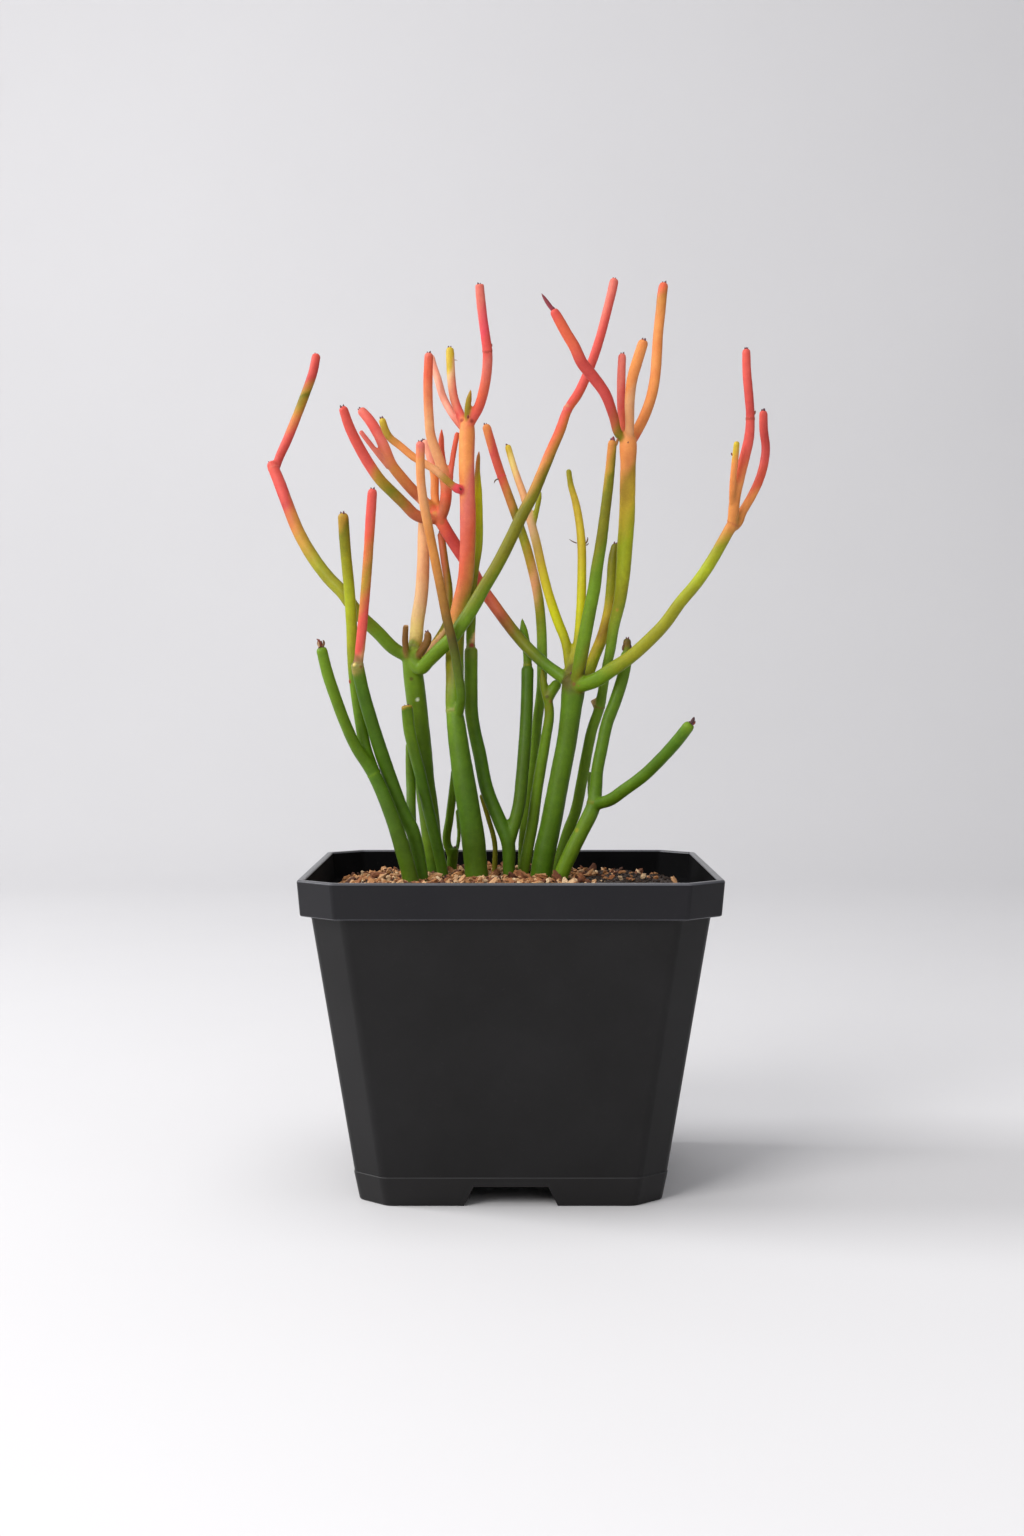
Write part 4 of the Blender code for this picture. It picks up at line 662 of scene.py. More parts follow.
class Recipe(NodeTree):
    """A node material under construction."""

    def __init__(self, name: str) -> None:
        """Starts an empty material with its output.

        Args:
            name: The material's name.
        """
        self.material = bpy.data.materials.new(name)
        self.material.use_nodes = True
        self.tree = self.material.node_tree
        self.tree.nodes.clear()
        self.output = self.node("ShaderNodeOutputMaterial")

    def ramp(self, factor: NodeSocket, stops: tuple[tuple[float, str], ...]) -> NodeSocket:
        """A colour ramp.

        Args:
            factor: What drives it.
            stops: (position, sRGB hex code) pairs, in order.

        Returns:
            The ramp's colour socket.
        """
        made = self.node("ShaderNodeValToRGB", {"Fac": factor})
        elements = made.color_ramp.elements
        while len(elements) < len(stops):
            elements.new(1.0)
        for element, (position, code) in zip(elements, stops):
            element.position = position
            element.color = (*linear_colour(code), 1.0)
        return made.outputs["Color"]

    def range(self, value: NodeSocket, source: tuple, target: tuple) -> NodeSocket:
        """A value mapped from the lowest and highest of source to those of target, clamped."""
        inputs = zip(("Value", "From Min", "From Max", "To Min", "To Max"), (value, *source, *target))
        return self.node("ShaderNodeMapRange", dict(inputs)).outputs["Result"]

    def mix(self, factor: object, a: object, b: object, blend: str = "MIX") -> NodeSocket:
        """Mixes two colours.

        Args:
            factor: A number or a socket.
            a: The first colour or socket.
            b: The second colour or socket.
            blend: The blend type.

        Returns:
            The mixed colour.
        """
        first, second = (v if isinstance(v, NodeSocket) else (*v[:3], 1.0) for v in (a, b))
        inputs = {0: factor, 6: first, 7: second}
        return self.node("ShaderNodeMix", inputs, data_type="RGBA", blend_type=blend).outputs[2]

    def noise(self, scale: float, detail: float = 3.0, rough: float = 0.5) -> NodeSocket:
        """Noise on object coordinates.

        Args:
            scale: Waves a metre.
            detail: Its octaves.
            rough: How strong the fine octaves are.

        Returns:
            The noise value.
        """
        place = self.node("ShaderNodeTexCoord").outputs["Object"]
        inputs = {"Vector": place, "Scale": scale, "Detail": detail, "Roughness": rough}
        return self.node("ShaderNodeTexNoise", inputs).outputs[0]

    def bump(self, height: NodeSocket, distance: float, strength: float = 1.0) -> NodeSocket:
        """The normal of a bump, with the metres that a height of 1 stands for and its strength."""
        inputs = {"Height": height, "Distance": distance, "Strength": strength}
        return self.node("ShaderNodeBump", inputs).outputs["Normal"]

    def finish(self, inputs: dict) -> Material:
        """Adds the shader and connects it.

        Args:
            inputs: The shader's inputs.

        Returns:
            The finished material.
        """
        shader = self.node("ShaderNodeBsdfPrincipled", inputs)
        self.tree.links.new(shader.outputs["BSDF"], self.output.inputs["Surface"])
        return self.material


@dataclass(frozen=True)
class StemSkin:
    """The smooth waxy skin of the living stems, coloured by the skin_tone attribute."""

    mottle_scale: float = 420.0
    pore_scale: float = 1500.0
    roughness: tuple[float, float] = (0.4, 0.54)
    gloss: float = 0.22
    glow: float = 0.1

    def make(self) -> Material:
        """Makes the skin's material."""
        recipe = Recipe("living_skin")
        tone = recipe.node("ShaderNodeAttribute", attribute_name="skin_tone").outputs["Color"]
        mottle = recipe.noise(self.mottle_scale, 4.0, 0.6)
        light = recipe.range(mottle, (0.35, 0.7), (0.0, 0.3))
        lighter = recipe.mix(light, tone, (1.0, 0.98, 0.8), "SOFT_LIGHT")
        patches = recipe.noise(self.mottle_scale / 4, 2.0)
        shade = recipe.range(patches, (0.42, 0.7), (0.0, 0.34))
        darker = recipe.mix(shade, lighter, (0.30, 0.26, 0.2), "OVERLAY")
        place = recipe.node("ShaderNodeTexCoord").outputs["Object"]
        pores = recipe.node("ShaderNodeTexVoronoi", {"Vector": place, "Scale": self.pore_scale})
        dots = recipe.range(pores.outputs["Distance"], (0.1, 0.32), (0.22, 0.0))
        colour = recipe.mix(dots, darker, (0.92, 0.95, 0.7), "SOFT_LIGHT")
        fine = recipe.noise(self.pore_scale * 1.6, 2.0)
        return recipe.finish({
            "Base Color": colour,
            "Roughness": recipe.range(mottle, (0.3, 0.7), self.roughness),
            "Subsurface Weight": self.glow,
            "Subsurface Radius": (1.0, 0.45, 0.15),
            "Subsurface Scale": 1.2 * MM,
            "Specular IOR Level": self.gloss,
            "Normal": recipe.bump(fine, 0.06 * MM, 0.5),
        })


@dataclass(frozen=True)
class DryTissue:
    """Dried buds, curls and leaf points, coloured by the skin_tone attribute."""

    roughness: float = 0.7

    def make(self) -> Material:
        """Makes the dry tissue's material."""
        recipe = Recipe("dry_tissue")
        tone = recipe.node("ShaderNodeAttribute", attribute_name="skin_tone").outputs["Color"]
        streaks = recipe.noise(2600.0, 3.0, 0.7)
        colour = recipe.mix(recipe.range(streaks, (0.35, 0.65), (0.0, 0.55)), tone, (0.1, 0.05, 0.03))
        return recipe.finish({
            "Base Color": colour,
            "Roughness": self.roughness,
            "Normal": recipe.bump(streaks, 0.12 * MM, 0.8),
        })


@dataclass(frozen=True)
class BlackPlastic:
    """Moulded black plastic with a satin skin, faint flow marks and a little dust."""

    name: str = "moulded_black_plastic"
    gloss: float = 0.22
    grain_scale: float = 2400.0
    flow_mark: tuple[float, float, float] = (0.016, 0.0155, 0.0165)
    pale_tint: tuple[float, float, float] = (0.05, 0.047, 0.044)

    def make(self) -> Material:
        """Makes the plastic's material."""
        recipe = Recipe(self.name)
        # pot_zone carries each face's shade: painted shade inside the pot, painted highlights on the lip and
        # foot line, and the band's painted reflection.
        zone = recipe.node("ShaderNodeAttribute", attribute_name="pot_zone")
        clouds = recipe.range(recipe.noise(28.0, 4.0, 0.6), (0.35, 0.75), (0.0, 0.4))
        pale = recipe.mix(clouds, zone.outputs["Color"], self.flow_mark)
        specks = recipe.range(recipe.noise(900.0, 4.0, 0.7), (0.62, 0.74), (0.0, 0.16))
        dusty = recipe.mix(specks, pale, self.pale_tint)
        grain = recipe.noise(self.grain_scale, 2.0)
        return recipe.finish({
            "Base Color": dusty,
            "Roughness": zone.outputs["Alpha"],
            "Specular IOR Level": self.gloss,
            "Normal": recipe.bump(grain, 0.05 * MM, 0.4),
        })


@dataclass(frozen=True)
class BarkFinish:
    """Dry bark crumbs, each with a tone of its own from the chip_tone attribute."""

    stops: tuple[tuple[float, str], ...] = (
        (0.0, "2E1A10"), (0.16, "6E4028"), (0.3, "A2663C"),
        (0.56, "CA905A"), (0.82, "E0B080"), (1.0, "EFD0A6"),
    )
    worn: str = "5A3222"

    def make(self) -> Material:
        """Makes the bark's material."""
        recipe = Recipe("dry_bark")
        tone = recipe.node("ShaderNodeAttribute", attribute_name="chip_tone").outputs["Fac"]
        colour = recipe.ramp(tone, self.stops)
        fibres = recipe.noise(1800.0, 5.0, 0.7)
        worn = recipe.mix(recipe.range(fibres, (0.3, 0.62), (0.6, 0.0)), colour, linear_colour(self.worn))
        return recipe.finish({
            "Base Color": worn,
            "Roughness": 0.85,
            "Normal": recipe.bump(fibres, 0.35 * MM, 0.9),
        })


@dataclass(frozen=True)
class SoilFinish:
    """Dark moist mix with paler specks."""

    stops: tuple[tuple[float, str], ...] = ((0.35, "17100C"), (0.56, "3C291D"), (0.75, "6A4A34"))

    def make(self) -> Material:
        """Makes the mix's material."""
        recipe = Recipe("moist_mix")
        grains = recipe.noise(900.0, 6.0, 0.72)
        colour = recipe.ramp(grains, self.stops)
        return recipe.finish({
            "Base Color": colour,
            "Roughness": recipe.range(grains, (0.35, 0.7), (0.62, 0.95)),
            "Normal": recipe.bump(grains, 0.7 * MM, 1.0),
        })


@dataclass(frozen=True)
class StudioPaint:
    """The plain pale finish of the floor and the backdrop."""

    shade: str = "E4E3E5"
    cloud: str = "C9C8CB"

    def make(self) -> Material:
        """Makes the paint's material."""
        recipe = Recipe("pale_studio")
        clouds = recipe.range(recipe.noise(1.6, 4.0, 0.6), (0.3, 0.7), (0.0, 0.12))
        colour = recipe.mix(clouds, linear_colour(self.shade), linear_colour(self.cloud))
        return recipe.finish({"Base Color": colour, "Roughness": 0.8})


def add_object(name: str, data: bpy.types.ID, material: Material | None = None) -> Object:
    """Links a new object at the origin.

    Args:
        name: The object's name.
        data: Its mesh, lamp or camera.
        material: A mesh's only material, if it has one.

    Returns:
        The object.
    """
    made = bpy.data.objects.new(name, data)
    bpy.context.scene.collection.objects.link(made)
    if material:
        data.materials.clear()
        data.materials.append(material)
    return made


def baked(source: Object, name: str) -> Mesh:
    """The plain mesh that an object's modifiers give; the object itself is removed.

    Args:
        source: The object with live modifiers.
        name: The new mesh's name.

    Returns:
        The mesh.
    """
    bpy.context.view_layer.update()
    graph = bpy.context.evaluated_depsgraph_get()
    mesh = bpy.data.meshes.new_from_object(source.evaluated_get(graph))
    mesh.name = name
    bpy.data.objects.remove(source, do_unlink=True)
    return mesh


def dress(piece: Object, slot: Slot, *nodes: str) -> Object:
    """Rides a finished piece on the root body and hides and logs the CAD nodes it stands for.

    Args:
        piece: The finished piece.
        slot: The record's material slot; not used.
        nodes: The CAD nodes that it replaces.

    Returns:
        The piece.
    """
    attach(piece, "root")
    if nodes:
        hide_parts(*nodes)
    stood_for = ", ".join(nodes) or "nothing"
    LOG.info("%s: %d faces, stands for %s", piece.name, len(piece.data.polygons), stood_for)
    return piece


def rows_of(items: bpy.types.bpy_prop_collection, field: str) -> np.ndarray:
    """Reads a vector of each item, such as a mesh's places or normals.

    Args:
        items: The items.
        field: The vector's name.

    Returns:
        Rows of three numbers.
    """
    flat = np.empty(len(items) * 3, np.float32)
    items.foreach_get(field, flat)
    return flat.reshape(-1, 3).astype(np.float64)


def built(name: str, builder: bmesh.types.BMesh, material: Material | None = None) -> Object:
    """Turns built faces into a new object and frees the builder.

    Args:
        name: The object's name.
        builder: The faces.
        material: Its only material, if it has one.

    Returns:
        The object.
    """
    mesh = bpy.data.meshes.new(name)
    builder.to_mesh(mesh)
    builder.free()
    return add_object(name, mesh, material)


def closed_rings(rows: list[list[Vector]]) -> bmesh.types.BMesh:
    """Walls from each row of points to the next, closed at both ends.

    Args:
        rows: Rows with the same number of points.

    Returns:
        The faces, as a builder.
    """
    builder = bmesh.new()
    rings = [[builder.verts.new(point) for point in row] for row in rows]
    count = len(rings[0])
    for low, high in zip(rings, rings[1:]):
        for i in range(count):
            j = (i + 1) % count
            builder.faces.new((low[i], low[j], high[j], high[i]))
    builder.faces.new(rings[0][::-1])
    builder.faces.new(rings[-1])
    return builder


def store_colours(mesh: Mesh, name: str, colours: np.ndarray) -> None:
    """Stores a colour on each point.

    Args:
        mesh: The mesh.
        name: The attribute's name.
        colours: Rows of linear red, green and blue.
    """
    attribute = mesh.attributes.new(name, "FLOAT_COLOR", "POINT")
    four = np.ones((len(colours), 4), np.float32)
    four[:, :3] = np.clip(colours, 0.0, 1.0)
    attribute.data.foreach_set("color", four.ravel())


def ripple(points: np.ndarray, length: float, seed: float) -> np.ndarray:
    """A smooth irregular wave in space, from -1 to 1.

    Args:
        points: Rows of three numbers, in metres.
        length: The rough length of a wave, in metres.
        seed: Shifts the pattern.

    Returns:
        One number for each point.
    """
    turn = 2 * math.pi / length
    x, y, z = (points * turn).T
    first = np.sin(x + 1.7 * np.sin(0.7 * z + seed) + seed) * np.cos(y - 1.3 * np.sin(0.6 * x + 2.1 * seed))
    second = np.sin(0.83 * z + 1.9 * np.sin(0.9 * y - seed) + 2.7 * seed)
    return 0.6 * first + 0.4 * second


def smooth_line(knots: np.ndarray, step: float) -> np.ndarray:
    """A smooth line through the knots, as closely spaced points that carry the radius with them.

    Args:
        knots: Rows of place and radius, in metres.
        step: The rough spacing of the points.

    Returns:
        Rows of place and radius along the line.
    """
    spans = np.linalg.norm(np.diff(knots[:, :3], axis=0), axis=1)
    steps = np.diff(knots, axis=0) / spans[:, None]
    slopes = np.vstack([steps[:1], steps, steps[-1:]])[:-1]
    inner = (steps[:-1] * spans[1:, None] + steps[1:] * spans[:-1, None]) / (spans[:-1] + spans[1:])[:, None]
    slopes[1:len(knots) - 1] = inner
    slopes = np.vstack([slopes[:len(knots) - 1], steps[-1:]])
    line = [knots[:1]]
    for i, span in enumerate(spans):
        t = np.arange(1, max(2, round(span / step)) + 1)[:, None] / max(2, round(span / step))
        line.append(
            knots[i] * (2 * t**3 - 3 * t**2 + 1) + slopes[i] * span * (t**3 - 2 * t**2 + t)
            + knots[i + 1] * (3 * t**2 - 2 * t**3) + slopes[i + 1] * span * (t**3 - t**2)
        )
    return np.vstack(line)


class TubeMesh:
    """Closed round tubes, gathered into one mesh."""

    def __init__(self) -> None:
        """Starts with no tubes."""
        self.points: list[np.ndarray] = []
        self.faces: list[tuple[int, ...]] = []
        self.count = 0

    def add(self, line: np.ndarray, radii: np.ndarray, sides: int) -> None:
        """Adds a tube with closed ends.

        Args:
            line: Rows of places along the middle, the last one at the very tip.
            radii: The radius at each place.
            sides: How many sides the tube has.
        """
        ahead = np.gradient(line, axis=0)
        ahead /= np.linalg.norm(ahead, axis=1)[:, None]
        across = np.array([1.0, 0.0, 0.0])
        turns = 2 * math.pi * np.arange(sides) / sides
        first = self.count
        for place, direction, radius in zip(line, ahead, radii):
            across = across - direction * across.dot(direction)
            across /= np.linalg.norm(across)
            other = np.cross(direction, across)
            ring = place + radius * (np.outer(np.cos(turns), across) + np.outer(np.sin(turns), other))
            self.points.append(ring)
        rings = len(line)
        for row in range(rings - 1):
            low = first + row * sides
            for i in range(sides):
                j = (i + 1) % sides
                self.faces.append((low + i, low + j, low + sides + j, low + sides + i))
        self.faces.append(tuple(first + i for i in reversed(range(sides))))
        self.faces.append(tuple(first + (rings - 1) * sides + i for i in range(sides)))
        self.count += rings * sides

    def mesh(self, name: str) -> Mesh:
        """The gathered tubes as one mesh."""
        made = bpy.data.meshes.new(name)
        made.from_pydata(np.vstack(self.points).tolist(), [], self.faces)
        made.validate()
        return made


class Limb:
    """One branch, measured: its line, its distances and its colours along it."""

    STEP = 0.8 * MM
    SIDES = 20
    TIP_ROWS = 7
    TIP_LENGTHS = {Tip.ROUND: 1.0, Tip.FLAT: 0.35, Tip.POINT: 4.0}
    LONG_SWELL = 0.016
    SHORT_SWELL = 0.010

    def __init__(self, branch: Branch) -> None:
        """Measures the branch.

        Args:
            branch: Its route and tones.
        """
        self.branch = branch
        knots = [(*EYE.place(*place), width * MM / 2) for *place, width in branch.points]
        self.line = smooth_line(np.array(knots), self.STEP)
        spans = np.linalg.norm(np.diff(self.line[:, :3], axis=0), axis=1)
        self.along = np.concatenate([[0.0], np.cumsum(spans)])
        self.total = self.along[-1]

    def at(self, distance: np.ndarray) -> np.ndarray:
        """Place and radius at distances along the line."""
        return np.stack([np.interp(distance, self.along, column) for column in self.line.T], axis=1)

    def tip_length(self) -> float:
        """How long the shaped tip is."""
        return self.TIP_LENGTHS[self.branch.tip] * self.line[-1, 3]

    def tip_share(self, inside: np.ndarray) -> np.ndarray:
        """The share of the full radius that the tip has.

        Args:
            inside: How far inside the tip, from 0 at its end to 1.

        Returns:
            The shares.
        """
        if self.branch.tip is Tip.POINT:
            return inside ** 0.6
        power = {Tip.ROUND: 2.4, Tip.FLAT: 2.0}[self.branch.tip]
        blunt = (1 - (1 - inside) ** power) ** (1 / power)
        return blunt if self.branch.tip is Tip.ROUND else 0.72 + 0.28 * blunt

    def add_to(self, tubes: TubeMesh, seed: float) -> None:
        """Adds this branch's tube, with slight swellings along it.

        Args:
            tubes: The tubes it joins.
            seed: Shifts its irregularities.
        """
        tip = self.tip_length()
        body = np.linspace(0.0, self.total - tip, max(4, round((self.total - tip) / self.STEP)))
        turns = np.linspace(0.0, math.pi / 2, self.TIP_ROWS + 1)[1:]
        places = np.concatenate([body, self.total - tip + tip * np.sin(turns)])
        inside = np.clip((self.total - places) / tip, 0.0, 1.0)
        rows = self.at(places)
        swell = 1 + self.LONG_SWELL * ripple(rows[:, :3], 16 * MM, seed)
        swell = swell + self.SHORT_SWELL * ripple(rows[:, :3], 5 * MM, 3 * seed)
        radii = np.maximum(rows[:, 3] * self.tip_share(inside) * swell, 0.02 * MM)
        tubes.add(rows[:, :3], radii, self.SIDES)

    def colour(self, distance: np.ndarray) -> np.ndarray:
        """Linear colours at distances along the branch."""
        shares, tones = zip(*self.branch.stops())
        linear = np.array([tone.linear for tone in tones])
        return np.stack([np.interp(distance / self.total, shares, column) for column in linear.T], axis=1)

    def tip_frame(self) -> tuple[Vector, Vector, float]:
        """The tip's place, its direction and the radius just behind it."""
        row = self.line[-1]
        ahead = Vector(self.line[-1, :3] - self.line[-4, :3]).normalized()
        return Vector(row[:3]), ahead, float(row[3])


class GrownStem:
    """One rooted stem: its branches fused into one skin, coloured along each branch."""

    VOXEL = 0.5 * MM
    BLEND = 0.35 * MM
    # The side that faces both the sun and the key light; the colour shift towards it is partly painted light.
    SUN = np.array([-0.72, -0.38, 0.58])
    WANDER = 2.0 * MM
    RING_HEIGHT = 0.10 * MM
    RING_STRENGTH = 0.6
    RING_DEPTH = 0.4 * MM
    SPOT_REACH = 1.25
    SPOT_STRENGTH = 1.6
    SPOT_MOST = 0.95
    NUB_RISE = 0.4
    CHUNK = 20000

    def __init__(self, route: StemRoute, seed: float) -> None:
        """Measures the stem's branches.

        Args:
            route: The stem's name and branches.
            seed: Shifts its irregularities.
        """
        self.route = route
        self.seed = seed
        self.limbs = [Limb(branch) for branch in route.branches]

    def slot(self) -> Slot:
        """The slot that the record gives this stem."""
        for part in frame["record"]["subparts"]:
            if part["node"] == self.route.name:
                return Slot(part["material_slot"])
        return Slot.GREEN

    def fused(self) -> Mesh:
        """The branches as one closed skin with soft joints."""
        tubes = TubeMesh()
        for i, limb in enumerate(self.limbs):
            limb.add_to(tubes, self.seed + 0.37 * i)
        name = self.route.name + "_tubes"
        rough = add_object(name, tubes.mesh(name))
        remesh = rough.modifiers.new("fuse", "REMESH")
        remesh.mode = "VOXEL"
        remesh.voxel_size = self.VOXEL
        remesh.use_smooth_shade = True
        smooth = rough.modifiers.new("soften", "SMOOTH")
        smooth.factor = 0.5
        smooth.iterations = 3
        return baked(rough, self.route.name + "_skin")

    def nearest(self, limb: Limb, points: np.ndarray) -> tuple[np.ndarray, np.ndarray]:
        """For each point, the distance along the limb of its nearest place, and the gap to its surface.

        Args:
            limb: The branch.
            points: Rows of places.

        Returns:
            Distances along, and gaps.
        """
        rows = limb.line
        along = np.empty(len(points))
        gap = np.empty(len(points))
        squares = (rows[:, :3] ** 2).sum(axis=1)
        for start in range(0, len(points), self.CHUNK):
            block = points[start:start + self.CHUNK]
            apart = squares - 2 * block @ rows[:, :3].T
            best = apart.argmin(axis=1)
            along[start:start + self.CHUNK] = limb.along[best]
            distance = np.linalg.norm(block - rows[best, :3], axis=1)
            gap[start:start + self.CHUNK] = distance - rows[best, 3]
        return along, gap

    def find_mark(self, mark: Mark) -> tuple[int, float, np.ndarray]:
        """Where a mark lies: its branch, its distance along it and its place on the side that faces the eye.

        Args:
            mark: The mark.

        Returns:
            The branch's number, the distance in metres and the place.
        """
        best = (math.inf, 0, 0.0, np.zeros(3))
        for number, limb in enumerate(self.limbs):
            scale = (EYE.distance + limb.line[:, 1]) / EYE.distance
            right = limb.line[:, 0] / scale
            height = EYE.height + (limb.line[:, 2] - EYE.height) / scale
            apart = np.hypot(right - mark.right * MM, height - mark.height * MM) / limb.line[:, 3]
            index = int(apart.argmin())
            if apart[index] < best[0]:
                row = limb.line[index]
                place = np.array(EYE.place(mark.right, mark.height, row[1] / MM))
                aside = min(np.linalg.norm(place - row[:3]), 0.98 * row[3])
                place[1] -= math.sqrt(row[3] ** 2 - aside ** 2)
                best = (apart[index], number, limb.along[index], place)
        return best[1:]

    def paint(self, mesh: Mesh) -> None:
        """Colours the skin along its branches, with the marks, and raises the nubs and rings.

        Args:
            mesh: The fused skin.
        """
        points = rows_of(mesh.vertices, "co")
        normals = rows_of(mesh.vertex_normals, "vector")
        side = normals @ (self.SUN / np.linalg.norm(self.SUN))
        wander = self.WANDER * ripple(points, 11 * MM, self.seed)
        colours = np.zeros((len(points), 3))
        weights = np.zeros(len(points))
        along, gaps = zip(*(self.nearest(limb, points) for limb in self.limbs))
        for limb, distance, gap in zip(self.limbs, along, gaps):
            weight = np.exp(-np.maximum(gap, -self.BLEND) / self.BLEND)
            # The lean shifts the colours on the side facing the sun and the key light: partly the plant's sun
            # colouring, partly painted light.
            run = distance + limb.branch.lean * MM * side + wander
            colours += limb.colour(run) * weight[:, None]
            weights += weight
        colours /= np.maximum(weights, 1e-12)[:, None]
        raise_by = np.zeros(len(points))
        for mark in MARKS.get(self.route.name, ()):
            number, at, place = self.find_mark(mark)
            size = mark.size * MM
            if mark.kind is MarkKind.RING:
                apart = np.abs(along[number] - at) / size
                near = (gaps[number] < self.RING_DEPTH) * np.exp(-3 * apart ** 2)
                raise_by += self.RING_HEIGHT * near * np.cos(np.minimum(apart * 4, math.pi))
                strength = self.RING_STRENGTH * near
            else:
                apart = np.linalg.norm(points - place, axis=1) / size
                near = np.clip(self.SPOT_REACH - apart, 0.0, 1.0)
                strength = np.clip(self.SPOT_STRENGTH * near, 0.0, self.SPOT_MOST)
                if mark.kind is MarkKind.NUB:
                    raise_by += self.NUB_RISE * size * near ** 1.5
            colours += (np.array(mark.tone.linear) - colours) * strength[:, None]
        points += normals * raise_by[:, None]
        mesh.vertices.foreach_set("co", points.astype(np.float32).ravel())
        store_colours(mesh, "skin_tone", colours)

    def build(self, material: Material) -> Object:
        """Builds, colours and dresses the stem.

        Args:
            material: The living skin.

        Returns:
            The stem's object.
        """
        mesh = self.fused()
        self.paint(mesh)
        mesh.shade_smooth()
        return dress(add_object(self.route.name + "_skin", mesh, material), self.slot(), self.route.name)


class DriedGrowth:
    """The dried buds, curls and twigs, as tapered bent tubes."""

    ROWS = 9
    SIDES = 8
    TIP_SHADE = 0.55

    def add_wisp(self, tubes: TubeMesh, wisp: Wisp) -> None:
        """Adds one wisp.

        Args:
            tubes: The tubes it joins.
            wisp: Its place and shape.
        """
        place = EYE.place(*wisp.place)
        aim = Vector(wisp.aim).normalized()
        bend = Vector(wisp.bend)
        bend = (bend - aim * bend.dot(aim)).normalized()
        line, radii = [], []
        step = wisp.length * MM / (self.ROWS - 1)
        for i in range(self.ROWS):
            share = i / (self.ROWS - 1)
            line.append(np.array(place))
            belly = math.sin(math.pi * min(1.0, 0.25 + 0.75 * share)) ** 0.6
            radii.append(max(wisp.width * MM / 2 * belly, 0.04 * MM))
            turn = wisp.curl * share
            place = place + (aim * math.cos(turn) + bend * math.sin(turn)) * step
        tubes.add(np.array(line), np.array(radii), self.SIDES)

    def build(self, material: Material) -> Object:
        """Builds all the wisps as one piece.

        Args:
            material: The dry tissue.

        Returns:
            The piece.
        """
        tubes = TubeMesh()
        shades = np.linspace(1.0, self.TIP_SHADE, self.ROWS).repeat(self.SIDES)
        colours = []
        for wisp in WISPS:
            self.add_wisp(tubes, wisp)
            colours.append(np.array(wisp.tone.linear) * shades[:, None])
        mesh = tubes.mesh("dried_buds")
        store_colours(mesh, "skin_tone", np.vstack(colours))
        mesh.shade_smooth()
        return dress(add_object("dried_buds", mesh, material), Slot.SUN)


class Scatter(NodeTree):
    """A Geometry Nodes tree that sets shapes on a ground or on points and realises them."""

    def __init__(self, name: str, sizes: dict[str, float | int]) -> None:
        """Starts the tree with its geometry and number inputs.

        Args:
            name: The tree's name.
            sizes: Input name to its value; whole numbers become integer inputs.
        """
        self.name = name
        self.tree = bpy.data.node_groups.new(name, "GeometryNodeTree")
        sockets = self.tree.interface
        sockets.new_socket("Geometry", in_out="INPUT", socket_type="NodeSocketGeometry")
        self.values = {}
        for key, value in sizes.items():
            kind = "NodeSocketInt" if isinstance(value, int) else "NodeSocketFloat"
            self.values[sockets.new_socket(key, in_out="INPUT", socket_type=kind).identifier] = value
        sockets.new_socket("Geometry", in_out="OUTPUT", socket_type="NodeSocketGeometry")
        self.start = self.node("NodeGroupInput")
        self.end = self.node("NodeGroupOutput")

    def shapes(self, variants: list[Object]) -> NodeSocket:
        """The variants as a list of instances to pick from."""
        joined = self.node("GeometryNodeJoinGeometry")
        for variant in variants:
            info = self.node("GeometryNodeObjectInfo", {"Object": variant, "As Instance": True})
            self.tree.links.new(info.outputs["Geometry"], joined.inputs[0])
        return joined.outputs[0]

    def random(self, low: object, high: object, seed: int, vector: bool = False) -> NodeSocket:
        """A random number or vector for each point.

        Args:
            low: The lowest value.
            high: The highest value.
            seed: The seed.
            vector: Whether it is a vector.

        Returns:
            The random value.
        """
        kind, first, out = ("FLOAT_VECTOR", 0, 0) if vector else ("FLOAT", 2, 1)
        made = self.node("FunctionNodeRandomValue", {first: low, first + 1: high, 8: seed}, data_type=kind)
        return made.outputs[out]

    def times(self, value: NodeSocket, size: str) -> NodeSocket:
        """A value multiplied by the tree's input of this name."""
        inputs = {0: value, 1: self.start.outputs[size]}
        return self.node("ShaderNodeMath", inputs, operation="MULTIPLY").outputs[0]

    def finish(self, instances: NodeSocket, material: Material) -> None:
        """Realises the instances, gives them their material and ends the tree.

        Args:
            instances: The instances.
            material: Their material.
        """
        real = self.node("GeometryNodeRealizeInstances", {0: instances})
        painted = self.node("GeometryNodeSetMaterial", {"Geometry": real.outputs[0], "Material": material})
        self.tree.links.new(painted.outputs[0], self.end.inputs[0])

    def run(self, ground: Object) -> Mesh:
        """Runs the tree on an object, which is removed.

        Args:
            ground: The object that carries the modifier.

        Returns:
            The result as a plain mesh.
        """
        modifier = ground.modifiers.new(self.name, "NODES")
        modifier.node_group = self.tree
        for identifier, value in self.values.items():
            modifier[identifier] = value
        return baked(ground, self.name)


